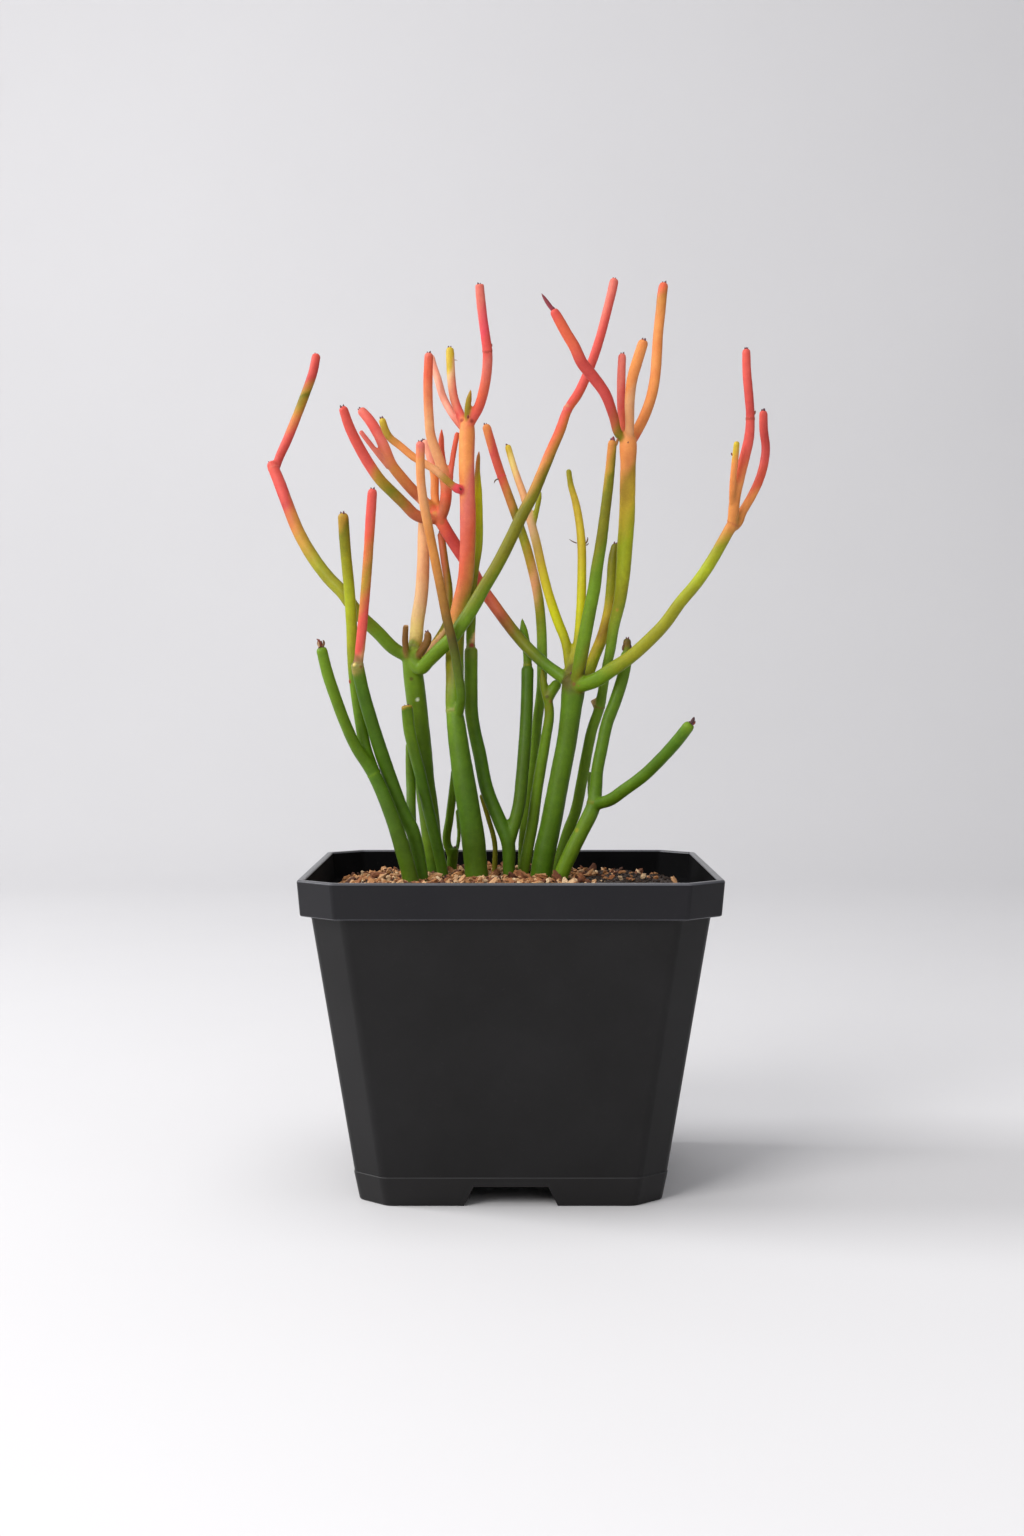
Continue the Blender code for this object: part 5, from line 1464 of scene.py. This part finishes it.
@dataclass
class LeafPoints:
    """The tiny dark leaf remnants round each branch's tip, set by Geometry Nodes."""

    width: float = 0.7 * MM
    length: float = 0.75 * MM
    least_radius: float = 1.2 * MM
    lightness: float = 1.9
    seed: int = 11

    def tooth(self) -> Object:
        """One leaf remnant: a small bent tooth."""
        tubes = TubeMesh()
        line = np.array([(0.12 * s * s, 0.0, s) for s in np.linspace(-0.3, 1.0, 6)]) * self.length
        radii = np.array([0.5, 0.55, 0.5, 0.38, 0.22, 0.05]) * self.width
        tubes.add(line, radii, 6)
        return add_object("leaf_tooth", tubes.mesh("leaf_tooth"))

    def seats(self, stems: list[GrownStem]) -> Object:
        """A point for each tooth, with the way it faces and its size as attributes.

        Args:
            stems: The grown stems.

        Returns:
            The object that holds the points.
        """
        draw = random.Random(self.seed)
        places, facing, sizes = [], [], []
        for stem in stems:
            for limb in stem.limbs:
                place, ahead, radius = limb.tip_frame()
                if limb.branch.tip is Tip.POINT or radius < self.least_radius or len(limb.branch.points) < 3:
                    continue
                across = ahead.orthogonal().normalized()
                for i in range(draw.choice((2, 3, 3))):
                    turn = Matrix.Rotation(2 * math.pi * (i / 3 + draw.random() * 0.15), 3, ahead)
                    out = turn @ across
                    places.append(place - ahead * 0.08 * radius + out * 0.34 * radius)
                    facing.append((ahead + out * 0.25).normalized())
                    sizes.append(draw.uniform(0.7, 1.3))
        mesh = bpy.data.meshes.new("tooth_seats")
        mesh.from_pydata([tuple(p) for p in places], [], [])
        mesh.attributes.new("facing", "FLOAT_VECTOR", "POINT").data.foreach_set("vector", np.ravel(facing))
        mesh.attributes.new("tooth_size", "FLOAT", "POINT").data.foreach_set("value", sizes)
        return add_object("tooth_seats", mesh)

    def build(self, stems: list[GrownStem], material: Material) -> Object:
        """Sets the teeth on all the tips.

        Args:
            stems: The grown stems.
            material: The dry tissue.

        Returns:
            The piece.
        """
        tooth = self.tooth()
        tree = Scatter("leaf_points", {"Size": 1.0})
        named = "GeometryNodeInputNamedAttribute"
        facing = tree.node(named, {"Name": "facing"}, data_type="FLOAT_VECTOR")
        size = tree.node(named, {"Name": "tooth_size"}, data_type="FLOAT")
        turn = tree.node("FunctionNodeAlignRotationToVector", {"Vector": facing.outputs[0]}, axis="Z")
        scale = tree.times(size.outputs[0], "Size")
        points = tree.node("GeometryNodeMeshToPoints", {0: tree.start.outputs[0]})
        placed = tree.node("GeometryNodeInstanceOnPoints", {
            "Points": points.outputs[0], "Instance": tree.shapes([tooth]),
            "Rotation": turn.outputs[0], "Scale": scale,
        })
        tree.finish(placed.outputs[0], material)
        mesh = tree.run(self.seats(stems))
        bpy.data.objects.remove(tooth, do_unlink=True)
        tone = np.array(Tone.DARK_BUD.linear) * self.lightness
        store_colours(mesh, "skin_tone", np.tile(tone, (len(mesh.vertices), 1)))
        mesh.shade_smooth()
        return dress(add_object("leaf_points", mesh, material), Slot.SUN)


@dataclass
class PotPlan:
    """The pot's sizes, from its CAD box and its moulded details."""

    band: float = 13.5 * MM
    draft: float = 1.0 * MM
    neck: float = 147 * MM
    base: float = 114 * MM
    rim_chamfer: float = 13.5 * MM
    neck_chamfer: float = 12.5 * MM
    base_chamfer: float = 11 * MM
    foot: float = 11 * MM
    foot_step: float = 0.22 * MM
    lip: float = 2.6 * MM
    wall: float = 2.0 * MM
    shoulder: float = 110.5 * MM
    channel_low: float = 35 * MM
    channel_high: float = 27.5 * MM
    channel_tall: float = 7.5 * MM
    drain: float = 8 * MM
    drain_spacing: float = 34 * MM
    body_corner: float = 5 * MM
    rim_corner: float = 2.4 * MM
    inner_corner: float = 4 * MM
    gap: float = 0.3 * MM

    def __post_init__(self) -> None:
        """Reads the rim's width and the height from the frame."""
        low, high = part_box("pot")
        self.rim = high.x - low.x
        self.height = high.z

    def side(self, height: float, top: float, bottom: float) -> float:
        """A size of the tapered body at a height, between its base and the underside of the band."""
        return bottom + (top - bottom) * height / (self.height - self.band)

    def width_at(self, height: float) -> float:
        """The body's width at a height."""
        return self.side(height, self.neck, self.base)

    def chamfer_at(self, height: float) -> float:
        """The body's corner cut at a height."""
        return self.side(height, self.neck_chamfer, self.base_chamfer)


@dataclass
class NurseryPot:
    """The moulded pot, with rounded edges, a lip, a shoulder, a foot band and a cross channel below."""

    plan: PotPlan

    CORNER_POINTS = 7
    CUT_SHARE = 2 - math.sqrt(2)
    # Inside faces: near black and matte, painted shade inside the pot.
    INSIDE_PAINTED_SHADE = (0.004, 0.004, 0.0044, 0.8)
    # The lip's top and the band's lower edge: much paler than the body, a painted highlight along these
    # edges.
    LIP_PAINTED_HIGHLIGHT = (0.1, 0.102, 0.115, 0.28)
    # The rim band: lighter and bluer than the body, a painted reflection on its upright face.
    BAND_PAINTED_REFLECTION = (0.0088, 0.0085, 0.0112, 0.38)
    # A thin pale line at the foot's step: a painted highlight along its edge.
    FOOT_LINE_PAINTED_HIGHLIGHT = (0.03, 0.03, 0.031, 0.38)
    BODY = (0.0062, 0.0058, 0.006, 0.42)
    # The body is made a little lighter towards the bottom.
    BOTTOM_LIGHTENING = (0.004, 0.0036, 0.0037, 0.0)
    LIGHTENING_HEIGHT = 60 * MM

    def ring(self, height: float, width: float, chamfer: float, inset: float, soft: float) -> list[Vector]:
        """A level square with cut corners, drawn in by an inset, its eight corners rounded.

        Args:
            height: Its height.
            width: Its width before the inset.
            chamfer: Its corner cut before the inset.
            inset: How far each side moves in.
            soft: The rounding radius of its corners.

        Returns:
            Its points.
        """
        half = width / 2 - inset
        cut = chamfer - self.CUT_SHARE * inset
        short = half - cut
        corners = [
            (short, -half), (half, -short), (half, short), (short, half),
            (-short, half), (-half, short), (-half, -short), (-short, -half),
        ]
        corners = [Vector((x, y, height)) for x, y in corners]
        reach = soft * math.tan(math.pi / 8)
        points = []
        for i, corner in enumerate(corners):
            start = corner + (corners[i - 1] - corner).normalized() * reach
            end = corner + (corners[(i + 1) % 8] - corner).normalized() * reach
            for k in range(self.CORNER_POINTS):
                t = k / (self.CORNER_POINTS - 1)
                points.append(start * (1 - t) ** 2 + corner * 2 * t * (1 - t) + end * t ** 2)
        return points

    def edge(
        self, height: float, width: float, chamfer: float, soft: float, radius: float, way: tuple,
    ) -> list[list[Vector]]:
        """The rows that round an edge between a side and a level face.

        Args:
            height: The level face's height.
            width: The side's width.
            chamfer: Its corner cut.
            soft: The corners' rounding.
            radius: The edge's radius.
            way: (inwards, downwards, level face first): signs for the side's inset and the side's height.

        Returns:
            The rows, as rings.
        """
        inwards, downwards, level_first = way
        rows = []
        for turn in np.radians((0, 30, 60, 90)).tolist():
            inset = inwards * radius * (1 - math.cos(turn))
            drop = downwards * radius * (1 - math.sin(turn))
            rows.append(self.ring(height + drop, width, chamfer, inset, soft))
        return rows[::-1] if level_first else rows

    def shell(self) -> Object:
        """The pot's wall, from its base up the outside, over the lip and down the inside."""
        plan = self.plan
        under = plan.height - plan.band
        foot_width = plan.width_at(plan.foot) + 2 * plan.foot_step
        foot_cut = plan.chamfer_at(plan.foot)
        low_band = plan.rim - 2 * plan.draft
        inside = plan.rim - 2 * plan.lip
        inside_cut = plan.rim_chamfer - 1.5 * MM
        near_band = under - 1.2 * MM
        body, rim, inner = plan.body_corner, plan.rim_corner, plan.inner_corner
        rows = self.edge(0.0, plan.base, plan.base_chamfer, body, 0.8 * MM, (1, 1, True))
        rows += [self.ring(*row) for row in (
            (plan.foot - 0.25 * MM, foot_width, foot_cut, 0.0, body),
            (plan.foot, foot_width, foot_cut, 0.06 * MM, body),
            (plan.foot + 0.12 * MM, foot_width, foot_cut, plan.foot_step, body),
            (near_band, plan.width_at(near_band), plan.neck_chamfer, 0.0, body),
            (under - 0.35 * MM, plan.neck, plan.neck_chamfer, -0.3 * MM, body),
            (under, plan.neck, plan.neck_chamfer, -1.1 * MM, body),
        )]
        rows += self.edge(under, low_band, plan.rim_chamfer, rim, 0.7 * MM, (1, 1, True))
        rows += self.edge(plan.height, plan.rim, plan.rim_chamfer, rim, 0.8 * MM, (1, -1, False))
        rows += self.edge(plan.height, inside, inside_cut, rim, 0.7 * MM, (-1, -1, True))
        rows += [self.ring(*row) for row in (
            (plan.shoulder + 0.8 * MM, inside - 2 * plan.draft, inside_cut, 0.0, rim),
            (plan.shoulder, inside - 2 * plan.draft, inside_cut, 0.8 * MM, rim),
            (under + 0.4 * MM, plan.width_at(under), plan.neck_chamfer, plan.wall - 0.6 * MM, inner),
            (under - 0.8 * MM, plan.width_at(under), plan.neck_chamfer, plan.wall, inner),
            (plan.wall, plan.width_at(plan.wall), plan.base_chamfer, plan.wall, inner),
        )]
        return built("nursery_pot", closed_rings(rows))

    def prism(self, grow: float, length: float, along_x: bool) -> Object:
        """One arm of the channel under the floor, grown on its sides and top.

        Args:
            grow: How much larger than the channel it is.
            length: Half its length.
            along_x: Whether it runs along X.

        Returns:
            The helper object.
        """
        plan = self.plan
        slope = (plan.channel_low - plan.channel_high) / 2 / plan.channel_tall
        low = plan.channel_low / 2 + grow
        bottom = 0.0 if grow else -5 * MM
        top = plan.channel_tall + grow
        section = [(-low + slope * bottom, bottom), (low - slope * bottom, bottom)]
        section += [(low - slope * top, top), (-low + slope * top, top)]
        ends = (-length, length)
        rows = [[Vector((x, y, z) if along_x else (-y, x, z)) for y, z in section] for x in ends]
        builder = closed_rings(rows)
        bmesh.ops.recalc_face_normals(builder, faces=builder.faces)
        return built("channel", builder)

    def drain(self, x: float, y: float) -> Object:
        """The cutter of one drain hole."""
        builder = bmesh.new()
        radius = self.plan.drain / 2
        bmesh.ops.create_cone(
            builder, cap_ends=True, segments=32, radius1=radius, radius2=radius, depth=6 * MM,
            matrix=Matrix.Translation((x, y, self.plan.channel_tall + self.plan.wall / 2)),
        )
        return built("drain", builder)

    def combine(self, pot: Object, others: list[Object], operation: str) -> Object:
        """Joins or cuts the pot with all the others.

        Args:
            pot: The pot so far.
            others: The helpers, which are removed.
            operation: UNION or DIFFERENCE.

        Returns:
            The pot.
        """
        helpers = bpy.data.collections.new("pot_helpers")
        bpy.context.scene.collection.children.link(helpers)
        for other in others:
            bpy.context.scene.collection.objects.unlink(other)
            helpers.objects.link(other)
        modifier = pot.modifiers.new("combine", "BOOLEAN")
        modifier.operation = operation
        modifier.operand_type = "COLLECTION"
        modifier.collection = helpers
        made = add_object("nursery_pot", baked(pot, "nursery_pot"))
        for other in others:
            bpy.data.objects.remove(other, do_unlink=True)
        bpy.data.collections.remove(helpers)
        return made

    def build(self, material: Material) -> Object:
        """Builds and dresses the pot.

        Args:
            material: The black plastic.

        Returns:
            The pot.
        """
        plan = self.plan
        roof_length = plan.base / 2 - 0.9 * MM
        roofs = [self.prism(plan.wall, roof_length, along_x) for along_x in (True, False)]
        pot = self.combine(self.shell(), roofs, "UNION")
        cutters = [self.prism(0.0, plan.base, along_x) for along_x in (True, False)]
        spots = [(0, 0), (1, 0), (-1, 0), (0, 1), (0, -1)]
        cutters += [self.drain(x * plan.drain_spacing, y * plan.drain_spacing) for x, y in spots]
        pot = self.combine(pot, cutters, "DIFFERENCE")
        pot.data.shade_smooth()
        bevel = pot.modifiers.new("edges", "BEVEL")
        bevel.width = 0.3 * MM
        bevel.segments = 2
        bevel.limit_method = "ANGLE"
        bevel.angle_limit = math.radians(42)
        bevel.harden_normals = False
        weighted = pot.modifiers.new("flats", "WEIGHTED_NORMAL")
        weighted.keep_sharp = True
        mesh = baked(pot, "nursery_pot")
        made = add_object("nursery_pot", mesh, material)
        # A second plastic with almost no gloss for the inside faces: painted shade, so the inside shows no
        # reflections.
        mesh.materials.append(BlackPlastic("damp_black_plastic", 0.02).make())
        self.shade_zones(mesh)
        return dress(made, Slot.POT, "pot")

    def zone_of(self, place: Vector, normal: Vector) -> tuple[float, float, float, float]:
        """The plastic's shade at a face, with its roughness as the fourth value; the shades include painted
        shade inside, painted highlights on the lip and foot line, and the band's painted reflection.

        Args:
            place: The face's middle.
            normal: Its direction.

        Returns:
            Red, green, blue and roughness.
        """
        plan = self.plan
        under = plan.height - plan.band
        # Faces that look inwards, below the lip, get the painted shade of the pot's inside.
        if normal.x * place.x + normal.y * place.y < -1e-5 and plan.wall < place.z < plan.height - 0.75 * MM:
            return self.INSIDE_PAINTED_SHADE
        # The lip's top and the band's lower edge get the painted highlight.
        if place.z > plan.height - 0.78 * MM or under < place.z < under + 0.5 * MM:
            return self.LIP_PAINTED_HIGHLIGHT
        # The rim band gets the painted reflection.
        if place.z > under:
            return self.BAND_PAINTED_REFLECTION
        # The foot's step gets the painted highlight.
        if plan.foot - 0.3 * MM < place.z < plan.foot + 0.2 * MM:
            return self.FOOT_LINE_PAINTED_HIGHLIGHT
        # The body grows lighter towards the bottom, up to a set height.
        low = 1 - min(1.0, place.z / self.LIGHTENING_HEIGHT)
        return tuple(shade + pale_tint * low for shade, pale_tint in zip(self.BODY, self.BOTTOM_LIGHTENING))

    def shade_zones(self, mesh: Mesh) -> None:
        """Stores each face's shade and roughness as the pot_zone attribute, painted shade and highlights
        among them, and gives the inside faces the second plastic.

        Args:
            mesh: The pot's mesh.
        """
        attribute = mesh.attributes.new("pot_zone", "FLOAT_COLOR", "CORNER")
        for polygon in mesh.polygons:
            zone = self.zone_of(polygon.center, polygon.normal)
            # Faces with the painted shade inside take the second, almost glossless plastic.
            polygon.material_index = int(zone is self.INSIDE_PAINTED_SHADE)
            for corner in polygon.loop_indices:
                attribute.data[corner].color = zone


class Ground:
    """The mounded surface that the stems stand in: dark mix, with a ground for the bark to lie on."""

    RINGS = 64
    TURNS = 300
    EDGE = 109.5 * MM
    MOUND = ((1.0, 0.0), (0.9, 2.4), (0.7, 4.4), (0.45, 5.6), (0.2, 6.1), (0.0, 6.2))
    CRUST = 1.1 * MM
    COVERED = 0.965
    HEAPS = ((-46, -34, 3.2, 14), (-28, 12, 2.4, 11), (31, -6, 3.0, 8), (4, 30, 1.8, 13), (-8, -42, 1.6, 15))

    def __init__(self, plan: PotPlan) -> None:
        """Works out how far the surface reaches inside the pot."""
        self.half = plan.width_at(self.EDGE) / 2 - plan.wall - plan.gap
        self.cut = plan.chamfer_at(self.EDGE) - NurseryPot.CUT_SHARE * (plan.wall + plan.gap)

    def reach(self, turn: float) -> float:
        """How far the surface reaches in a direction, up to the pot's wall."""
        x, y = abs(math.cos(turn)), abs(math.sin(turn))
        return min(self.half / max(x, y), (2 * self.half - self.cut) / (x + y))

    def height(self, x: float, y: float, share: float) -> float:
        """The ground's height at a place.

        Args:
            x: Metres right.
            y: Metres back.
            share: How far out the place is, from 0 to 1.

        Returns:
            The height in metres.
        """
        shares, rises = zip(*self.MOUND[::-1])
        rise = float(np.interp(share, shares, [value * MM for value in rises]))
        for right, back, tall, wide in self.HEAPS:
            apart = math.hypot(x / MM - right, y / MM - back) / wide
            rise += 0.45 * tall * MM * math.exp(-2 * apart * apart)
        place = Vector((x, y, 0.0))
        lumps = 1.1 * MM * noise.noise(place * 70) + 0.5 * MM * noise.noise(place * 220)
        grit = 0.3 * MM * noise.noise(place * 700)
        edge = 1 - share ** 6
        return self.EDGE + rise + self.CRUST * edge + (lumps + grit) * edge

    def cover(self, x: float, y: float) -> float:
        """How thickly bark lies at a place, from 0 to 1: thin towards the right-hand side."""
        patch = 0.5 + 0.5 * noise.noise(Vector((x, y, 0.3)) * 90)
        wander = 12 * noise.noise(Vector((x, y, 7)) * 38) + 7 * noise.noise(Vector((x, y, 3)) * 110)
        right = min(1.0, max(0.0, (x / MM - 18 + wander) / 15))
        left = 0.45 * min(1.0, max(0.0, (-30 - x / MM) / 12))
        thick = (1 - right) * (1 - left) * min(1.0, 0.62 + patch)
        return thick + right * (0.03 + 0.45 * max(0.0, patch - 0.58))

    def build(self, material: Material) -> Object:
        """Builds the crust of dark mix, a closed bumpy lens with a flat underside.

        Args:
            material: The moist mix.

        Returns:
            The crust's object, with a cover attribute for the bark.
        """
        points, cover = [], []
        for ring in range(self.RINGS + 1):
            share = (ring / self.RINGS) ** 0.8
            for step in range(self.TURNS):
                turn = 2 * math.pi * step / self.TURNS
                x = self.reach(turn) * share * math.cos(turn)
                y = self.reach(turn) * share * math.sin(turn)
                points.append((x, y, self.height(x, y, share)))
                cover.append(self.cover(x, y) if share < self.COVERED else 0.0)
                if ring == 0:
                    break
        faces = [(0, 1 + i, 1 + (i + 1) % self.TURNS) for i in range(self.TURNS)]
        for ring in range(self.RINGS - 1):
            low = 1 + ring * self.TURNS
            for i in range(self.TURNS):
                j = (i + 1) % self.TURNS
                faces.append((low + i, low + self.TURNS + i, low + self.TURNS + j, low + j))
        rim = 1 + (self.RINGS - 1) * self.TURNS
        skirt = len(points)
        points += [(x, y, self.EDGE - 3 * MM) for x, y, _ in points[rim:rim + self.TURNS]]
        cover += [0.0] * self.TURNS
        for i in range(self.TURNS):
            j = (i + 1) % self.TURNS
            faces.append((rim + i, skirt + i, skirt + j, rim + j))
        faces.append(tuple(skirt + i for i in reversed(range(self.TURNS))))
        mesh = bpy.data.meshes.new("mix_crust")
        mesh.from_pydata(points, [], faces)
        mesh.attributes.new("cover", "FLOAT", "POINT").data.foreach_set("value", cover)
        mesh.shade_smooth()
        return dress(add_object("mix_crust", mesh, material), Slot.MIX)


@dataclass
class CrumbKind:
    """A kind of crumb that lies on the ground: its size, how many there are and how it is shaped."""

    name: str
    size: float
    spread: tuple[float, float]
    density: float
    flatness: tuple[float, float, float]
    faces: int
    seed: int
    uses_cover: bool
    lift: float


@dataclass
class GroundLitter:
    """Bark crumbs and bits of mix, set on the ground by Geometry Nodes."""

    kind: CrumbKind

    VARIANTS = 5

    def variant(self, number: int) -> Object:
        """One crumb: an angular, flattened lump.

        Args:
            number: Which variant it is.

        Returns:
            The helper object.
        """
        draw = random.Random(self.kind.seed * 31 + number)
        builder = bmesh.new()
        bmesh.ops.create_icosphere(builder, subdivisions=self.kind.faces, radius=0.5)
        across = [value * draw.uniform(0.8, 1.2) for value in self.kind.flatness]
        for vert in builder.verts:
            rough = 1 + 0.42 * (draw.random() - 0.5)
            vert.co = Vector(value * size * rough for value, size in zip(vert.co, across))
            vert.co.z += 0.18 * draw.uniform(-1, 1) * vert.co.x
        return built(f"{self.kind.name}_shape_{number}", builder)

    def build(self, ground: Object, material: Material, keep_out: list) -> Mesh:
        """Strews the crumbs over the ground.

        Args:
            ground: The crust, which is copied.
            material: The crumbs' material.
            keep_out: (x, y, radius) of each stem's foot.

        Returns:
            The crumbs as one mesh.
        """
        kind = self.kind
        variants = [self.variant(number) for number in range(self.VARIANTS)]
        field = ground.data.copy()
        points = rows_of(field.vertices, "co")
        cover = np.empty(len(points), np.float32)
        field.attributes["cover"].data.foreach_get("value", cover)
        weight = cover if kind.uses_cover else np.where(cover > 0, 1.0, 0.0).astype(np.float32)
        for x, y, radius in keep_out:
            weight[np.hypot(points[:, 0] - x, points[:, 1] - y) < radius] = 0.0
        weight[points[:, 2] < Ground.EDGE - 1 * MM] = 0.0
        field.attributes["cover"].data.foreach_set("value", weight)
        tree = Scatter(kind.name, {"Density": kind.density, "Size": kind.size, "Seed": kind.seed})
        amount = tree.node("GeometryNodeInputNamedAttribute", {"Name": "cover"}, data_type="FLOAT")
        spots = tree.node("GeometryNodeDistributePointsOnFaces", {
            "Mesh": tree.start.outputs[0], "Density": tree.times(amount.outputs[0], "Density"),
            "Seed": tree.start.outputs["Seed"],
        })
        tip = tree.random((-0.9, -0.9, 0.0), (0.9, 0.9, 6.283), kind.seed + 1, vector=True)
        turned = {0: spots.outputs["Rotation"], 1: tip}
        turn = tree.node("FunctionNodeRotateRotation", turned, rotation_space="LOCAL")
        scale = tree.times(tree.random(*kind.spread, kind.seed + 2), "Size")
        placed = tree.node("GeometryNodeInstanceOnPoints", {
            "Points": spots.outputs["Points"], "Instance": tree.shapes(variants), "Pick Instance": True,
            "Rotation": turn.outputs[0], "Scale": scale,
        })
        lift = tree.random((0.0, 0.0, -0.2 * kind.lift), (0.0, 0.0, kind.lift), kind.seed + 3, vector=True)
        raised = tree.node("GeometryNodeTranslateInstances", {
            "Instances": placed.outputs[0], "Translation": lift, "Local Space": False,
        })
        toned = tree.node("GeometryNodeStoreNamedAttribute", {
            "Geometry": raised.outputs[0], "Name": "chip_tone", "Value": tree.random(0.0, 1.0, kind.seed + 4),
        }, data_type="FLOAT", domain="INSTANCE")
        tree.finish(toned.outputs[0], material)
        mesh = tree.run(add_object(kind.name + "_field", field))
        for variant in variants:
            bpy.data.objects.remove(variant, do_unlink=True)
        return mesh


@dataclass
class Studio:
    """The pale floor and backdrop, the soft lights and the camera, in metres."""

    eye: tuple[float, float, float] = (0.0004, -0.85, 0.194)
    pitch: float = 2.27
    lens: float = 50.6
    depth: float = 1.9
    width: float = 6.0
    front: float = -3.0
    tall: float = 4.0
    bend: float = 0.7
    bend_steps: int = 12
    air: tuple[float, float, float, float] = (0.86, 0.87, 0.9, 1.0)
    air_strength: float = 0.27

    def camera(self) -> None:
        """Sets the camera at the photograph's place."""
        data = bpy.data.cameras.new("front_view")
        data.lens = self.lens
        data.sensor_width = 36.0
        data.clip_start = 0.01
        made = add_object("front_view", data)
        made.location = self.eye
        made.rotation_euler = (math.radians(90 - self.pitch), 0.0, 0.0)
        bpy.context.scene.camera = made

    def sweep(self, material: Material) -> None:
        """Builds the floor, which curves up into the backdrop.

        Args:
            material: The studio paint.
        """
        profile = [(self.front, 0.0), (self.depth - self.bend, 0.0)]
        for step in range(1, self.bend_steps + 1):
            turn = math.pi / 2 * step / self.bend_steps
            back = self.depth - self.bend + self.bend * math.sin(turn)
            profile.append((back, self.bend * (1 - math.cos(turn))))
        profile.append((self.depth, self.tall))
        points = [(side * self.width / 2, back, up) for back, up in profile for side in (-1, 1)]
        faces = [(2 * i, 2 * i + 1, 2 * i + 3, 2 * i + 2) for i in range(len(profile) - 1)]
        mesh = bpy.data.meshes.new("studio_sweep")
        mesh.from_pydata(points, [], faces)
        mesh.shade_smooth()
        add_object("studio_sweep", mesh, material)

    def lamp(self, name: str, place: tuple, aim: tuple, size: float, power: float, colour: tuple) -> None:
        """Adds a soft square lamp.

        Args:
            name: Its name.
            place: Where it hangs.
            aim: What it points at.
            size: Its side.
            power: Its power in watts.
            colour: Its colour.
        """
        data = bpy.data.lights.new(name, "AREA")
        data.size = size
        data.energy = power
        data.color = colour
        made = add_object(name, data)
        made.location = place
        made.rotation_euler = (Vector(aim) - Vector(place)).to_track_quat("-Z", "Y").to_euler()

    def lights(self) -> None:
        """Hangs the key light at the upper left and the softer lights round it."""
        middle = (0.0, 0.0, 0.22)
        white = (1.0, 1.0, 1.0)
        self.lamp("key", (-0.95, -1.35, 1.1), middle, 0.9, 22.0, (1.0, 0.985, 0.965))
        self.lamp("fill", (1.3, -1.1, 0.5), middle, 1.0, 1.0, (0.97, 0.985, 1.0))
        self.lamp("front", (0.25, -1.7, 0.95), middle, 0.8, 3.4, (1.0, 0.99, 0.98))
        self.lamp("side", (-1.9, 0.13, 1.3), (0.0, 0.0, 0.3), 0.9, 31.0, white)
        self.lamp("top", (0.0, -0.1, 2.0), (0.0, -0.1, 0.0), 1.4, 11.0, white)
        self.lamp("backdrop", (-0.4, 0.8, 1.5), (-0.3, 1.9, 0.8), 1.2, 1.5, white)
        world = bpy.data.worlds.new("pale_room")
        world.use_nodes = True
        background = world.node_tree.nodes["Background"]
        background.inputs["Color"].default_value = self.air
        background.inputs["Strength"].default_value = self.air_strength
        bpy.context.scene.world = world

    def build(self, material: Material) -> None:
        """Builds the whole studio.

        Args:
            material: The studio paint.
        """
        self.camera()
        self.sweep(material)
        self.lights()
        bpy.context.scene.view_settings.view_transform = "Standard"


def joined(name: str, meshes: list[Mesh], material: Material) -> Object:
    """Joins meshes into one object.

    Args:
        name: The object's name.
        meshes: The meshes, which are removed.
        material: The material of them all.

    Returns:
        The object.
    """
    builder = bmesh.new()
    for mesh in meshes:
        builder.from_mesh(mesh)
        bpy.data.meshes.remove(mesh)
    return built(name, builder, material)


BARK_CHIPS = CrumbKind("bark_crumbs", 1.9 * MM, (0.4, 1.6), 370000.0, (1.25, 0.85, 0.5), 1, 5, True, 1.6 * MM)
BARK_PIECES = CrumbKind("bark_pieces", 3.4 * MM, (0.7, 1.3), 22000.0, (1.35, 0.8, 0.5), 2, 17, True, 2.4 * MM)
SOIL_BITS = CrumbKind("soil_crumbs", 1.5 * MM, (0.4, 1.3), 160000.0, (1.1, 0.9, 0.7), 1, 23, False, 0.5 * MM)
FOOT_LEVEL = 117 * MM
FOOT_MARGIN = 0.5 * MM


def build_ground(plan: PotPlan, stems: list[GrownStem]) -> None:
    """Builds the mix, its crust, the bark and the loose crumbs.

    Args:
        plan: The pot's sizes.
        stems: The grown stems, whose feet the bark keeps clear of.
    """
    soil = SoilFinish().make()
    bark = BarkFinish().make()
    buried = frame["nodes"]["potting_mix"]
    buried.data.materials.clear()
    buried.data.materials.append(soil)
    ground = Ground(plan).build(soil)
    feet = []
    for stem in stems:
        trunk = stem.limbs[0]
        row = trunk.line[int(np.argmax(trunk.line[:, 2] > FOOT_LEVEL))]
        feet.append((row[0], row[1], row[3] + FOOT_MARGIN))
    chips = [GroundLitter(kind).build(ground, bark, feet) for kind in (BARK_CHIPS, BARK_PIECES)]
    dress(joined("bark_topping", chips, bark), Slot.BARK, "bark_chips")
    crumbs = GroundLitter(SOIL_BITS).build(ground, soil, feet)
    dress(joined("soil_crumbs", [crumbs], soil), Slot.MIX)


def main() -> None:
    """Builds every piece in order."""
    logging.basicConfig(level=logging.INFO, format="%(name)s: %(message)s")
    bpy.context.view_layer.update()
    Studio().build(StudioPaint().make())
    plan = PotPlan()
    NurseryPot(plan).build(BlackPlastic().make())
    skin = StemSkin().make()
    dry = DryTissue().make()
    stems = [GrownStem(route, 1.0 + number) for number, route in enumerate(STEMS)]
    for stem in stems:
        stem.build(skin)
    LeafPoints().build(stems, dry)
    DriedGrowth().build(dry)
    build_ground(plan, stems)


if __name__ == "__main__":
    main()
